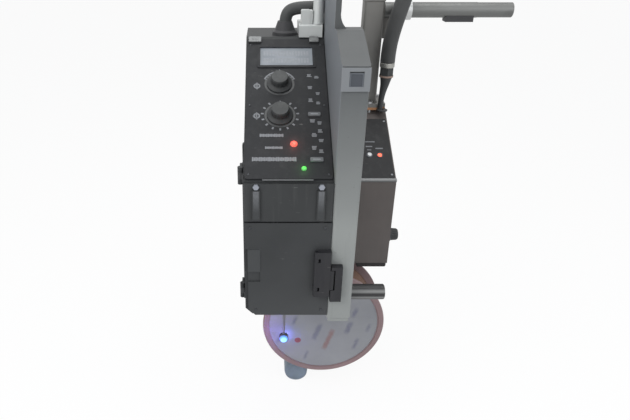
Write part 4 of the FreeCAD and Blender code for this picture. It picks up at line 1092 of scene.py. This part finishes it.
gland = {
    "neck": ((242.5, 398, 97), (242, 398, 80), (238, 399, 55), (236, 400, 32), (235.5, 400, 8)),
    "neckRadii": (15.5, 11.0, 7.5, 6.4, 6.0),
    "foot": 10, "nut": (86, 16.1, 17.6), "nutEased": 0.8,  # nut's level, radius and height over the foot
    "seal": (82, 12.5, 16.4, 4.0), "grommet": (0, 3.5, 12.8, 2.4),
    "lug": (19.5, 24.5, -2.2, 2.2, 5.6, 7.6, 0.5), "lugs": 6,
}


def makeHoseTrim(neck, neckRadii, foot, nut, nutEased, seal, grommet, lug, lugs):
    # The gland's slim boot leaning to the post, its nut, seal and grommet, and lugs round the conduit's boot.
    tubeOf("glandNeck", [spot(*point) for point in neck], neckRadii, "knobPlastic", "hose_gland")
    base = Matrix.Translation(spot(hose["x"], hose["y"], foot))
    work = shapesOf((disc, 0, 0, *nut, 6))
    ease(work, list(work.edges), nutEased)
    finishPiece("glandNut", work, "knobPlastic", base)
    piece("glandSeal", "brownSeal", base, (ringBand, 0, 0, *seal, 48))
    piece("glandGrommet", "blackRubber", base, (ringBand, -2, 0, *grommet, 48))
    rowOf("bootLugs", shapesOf((slab, *lug)), "blackRubber", faceOf("conduit_boot", 2, 0),
          lugs, step=360 / lugs)


cheek = (51, 57, 307, 326, 222, 251.5, 0.8)


def makeHangerCheek():
    # The hanger's upper step is as wide as the gap beside the post: a cheek closes it.
    piece("hangerCheek", "lightCasting", datumPlace, (slab, *cheek))


plateTrim = {"inset": 14 * mm, "screw": (4.4, 2.0)}


def makePlateTrim(inset, screw):
    # Screws at the feed plate's corners, where its open face has metal.
    low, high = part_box("feed_plate")
    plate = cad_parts["feed_plate"]
    places = []
    for y in (low.y + inset, high.y - inset):
        for z in (low.z + inset, high.z - inset):
            found, place = plate.ray_cast(Vector((low.x - 0.05, y, z)), Vector((1, 0, 0)))[:2]
            if found:
                places.append(Matrix.Translation(place) @ turned(-90, "Y"))
    screws("plateScrews", places, "zincDull", *screw)


# Each back's look of screw, its insets from the sides, foot and top, and its screw.
backTrim = {"columnBackScrews": ("column_back", "zincDull", 6, 12, 12, (3.0, 1.5)),
            "mainBackScrews": ("main_housing", "blackScrew", 10, 24, 14, (3.4, 1.7))}


def makeBackTrim():
    # Screws round the column's back cover and the main unit's rear edges.
    for name, (node, look, side, foot, top, screw) in backTrim.items():
        low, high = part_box(node)
        places = wallPlaces(-90, "X", (low.x + side * mm, high.x - side * mm), (high.y,),
                            (low.z + foot * mm, (low.z + high.z) / 2, high.z - top * mm))
        screws(name, places, look, *screw)


panelGlow = {"redGlow": ((11, 82, 9), 0.013, (1.0, 0.16, 0.10)),
             "greenGlow": ((28, 27, 8), 0.007, (0.15, 1.0, 0.12))}

makePanelPrint()
makeDialPrint()
makeKnobs()
makeScreenCells(**screen)
makePanelTrim(**panelTrim)
makeBracketPlug(**plug)
makeCoverTrim(**coverTrim)
makeWelds(**weld)
makeWinding(**winding)
makeSpoolTrim(**spoolTrim)
makeLamp()
makeSideTrim(**sideTrim)
makeDoorTrim(**door)
makeHoses()
makeHangerCheek()
makeHoseTrim(**gland)
makePlateTrim(**plateTrim)
makeBackTrim()
for name, (place, power, colour) in panelGlow.items():
    glowLight(name, panelSpot(*place).translation, power, colour)
print("added pieces made")


def areaLight(name, place, target, size, power, colour):
    lamp = lampOf(name, "AREA", place, power, colour)
    lamp.data.shape = "RECTANGLE"
    lamp.data.size, lamp.data.size_y = size
    lamp.rotation_euler = (target - place).to_track_quat("-Z", "Y").to_euler()


def backdropRays(graph):
    # One for the rays that see the backdrop as plain white: camera, glossy and clear ones.
    path = graph.tree.nodes.new("ShaderNodeLightPath")
    seen = Link(graph, path.outputs["Is Camera Ray"])
    for name in ("Is Glossy Ray", "Is Transmission Ray"):
        seen = graph.sums("MAXIMUM", seen, Link(graph, path.outputs[name]))
    return seen


sky = {"colour": (0.93, 0.96, 1.0, 1), "power": 0.5}


def setWorld():
    # White behind the object, and a dimmer dome for its light.
    world = bpy.data.worlds.new("studio")
    bpy.context.scene.world = world
    world.use_nodes = True
    world.node_tree.nodes.clear()
    graph = Graph(world.node_tree)
    dome = graph.add("ShaderNodeBackground", {0: sky["colour"], 1: sky["power"]})
    white = graph.add("ShaderNodeBackground", {0: (1, 1, 1, 1)})
    mixed = graph.add("ShaderNodeMixShader", {0: backdropRays(graph), 1: dome, 2: white})
    end = world.node_tree.nodes.new("ShaderNodeOutputWorld")
    graph.put(end.inputs[0], mixed)


shot = {"lens": 31.66, "sensor": 36, "shift": 0.0794, "place": (-43, -909, 405), "tilt": 63}


def setCamera():
    view = bpy.data.cameras.new("camera")
    view.lens = shot["lens"]
    view.sensor_width = shot["sensor"]
    view.shift_x = shot["shift"]
    view.clip_end = 20
    camera = linked("camera", view)
    camera.location = spot(*shot["place"])
    camera.rotation_euler = (math.radians(shot["tilt"]), 0, 0)
    bpy.context.scene.camera = camera


# The floor's tone, its share of plain white, and its gap below the object, in metres.
ground = {"colour": (0.93, 0.93, 0.93), "white": 0.92, "gap": 0.0006, "reach": 40}


def setFloor():
    low = cadBox[0].z - ground["gap"]
    mesh = bpy.data.meshes.new("floor")
    reach = ground["reach"]
    corners = ((-reach, -reach), (reach, -reach), (reach, reach + 20), (-reach, reach + 20))
    mesh.from_pydata([(x, y, low) for x, y in corners], [], [(0, 1, 2, 3)])
    finish = Finish("paleFloor")
    finish.set(colour=ground["colour"], rough=0.9, specular=0.0)
    share = backdropRays(finish) * ground["white"]
    white = finish.add("ShaderNodeEmission", {"Color": (1.0, 1.0, 1.0), "Strength": 1.0})
    skin = Link(finish, finish.shader.outputs[0])
    mixed = finish.add("ShaderNodeMixShader", {0: share, 1: skin, 2: white})
    finish.put(finish.end.inputs["Surface"], mixed)
    mesh.materials.append(finish.material)
    linked("floor", mesh)


setWorld()
setCamera()
setFloor()
# Each lamp's place, size in metres, power and colour.
studio = {"key": ((-1500, -1300, 1500), (1.4, 1.4), 30, (1, 1, 1)),
          "fill": ((1500, -1100, 900), (1.6, 1.6), 14, (0.96, 0.98, 1.0)),
          "top": ((200, 500, 1900), (1.6, 1.2), 18, (1, 1, 1))}
for name, (place, size, power, colour) in studio.items():
    areaLight(name, spot(*place), spot(60, 200, -150), size, power, colour)
bpy.context.scene.view_settings.view_transform = "Standard"
print("stage set")
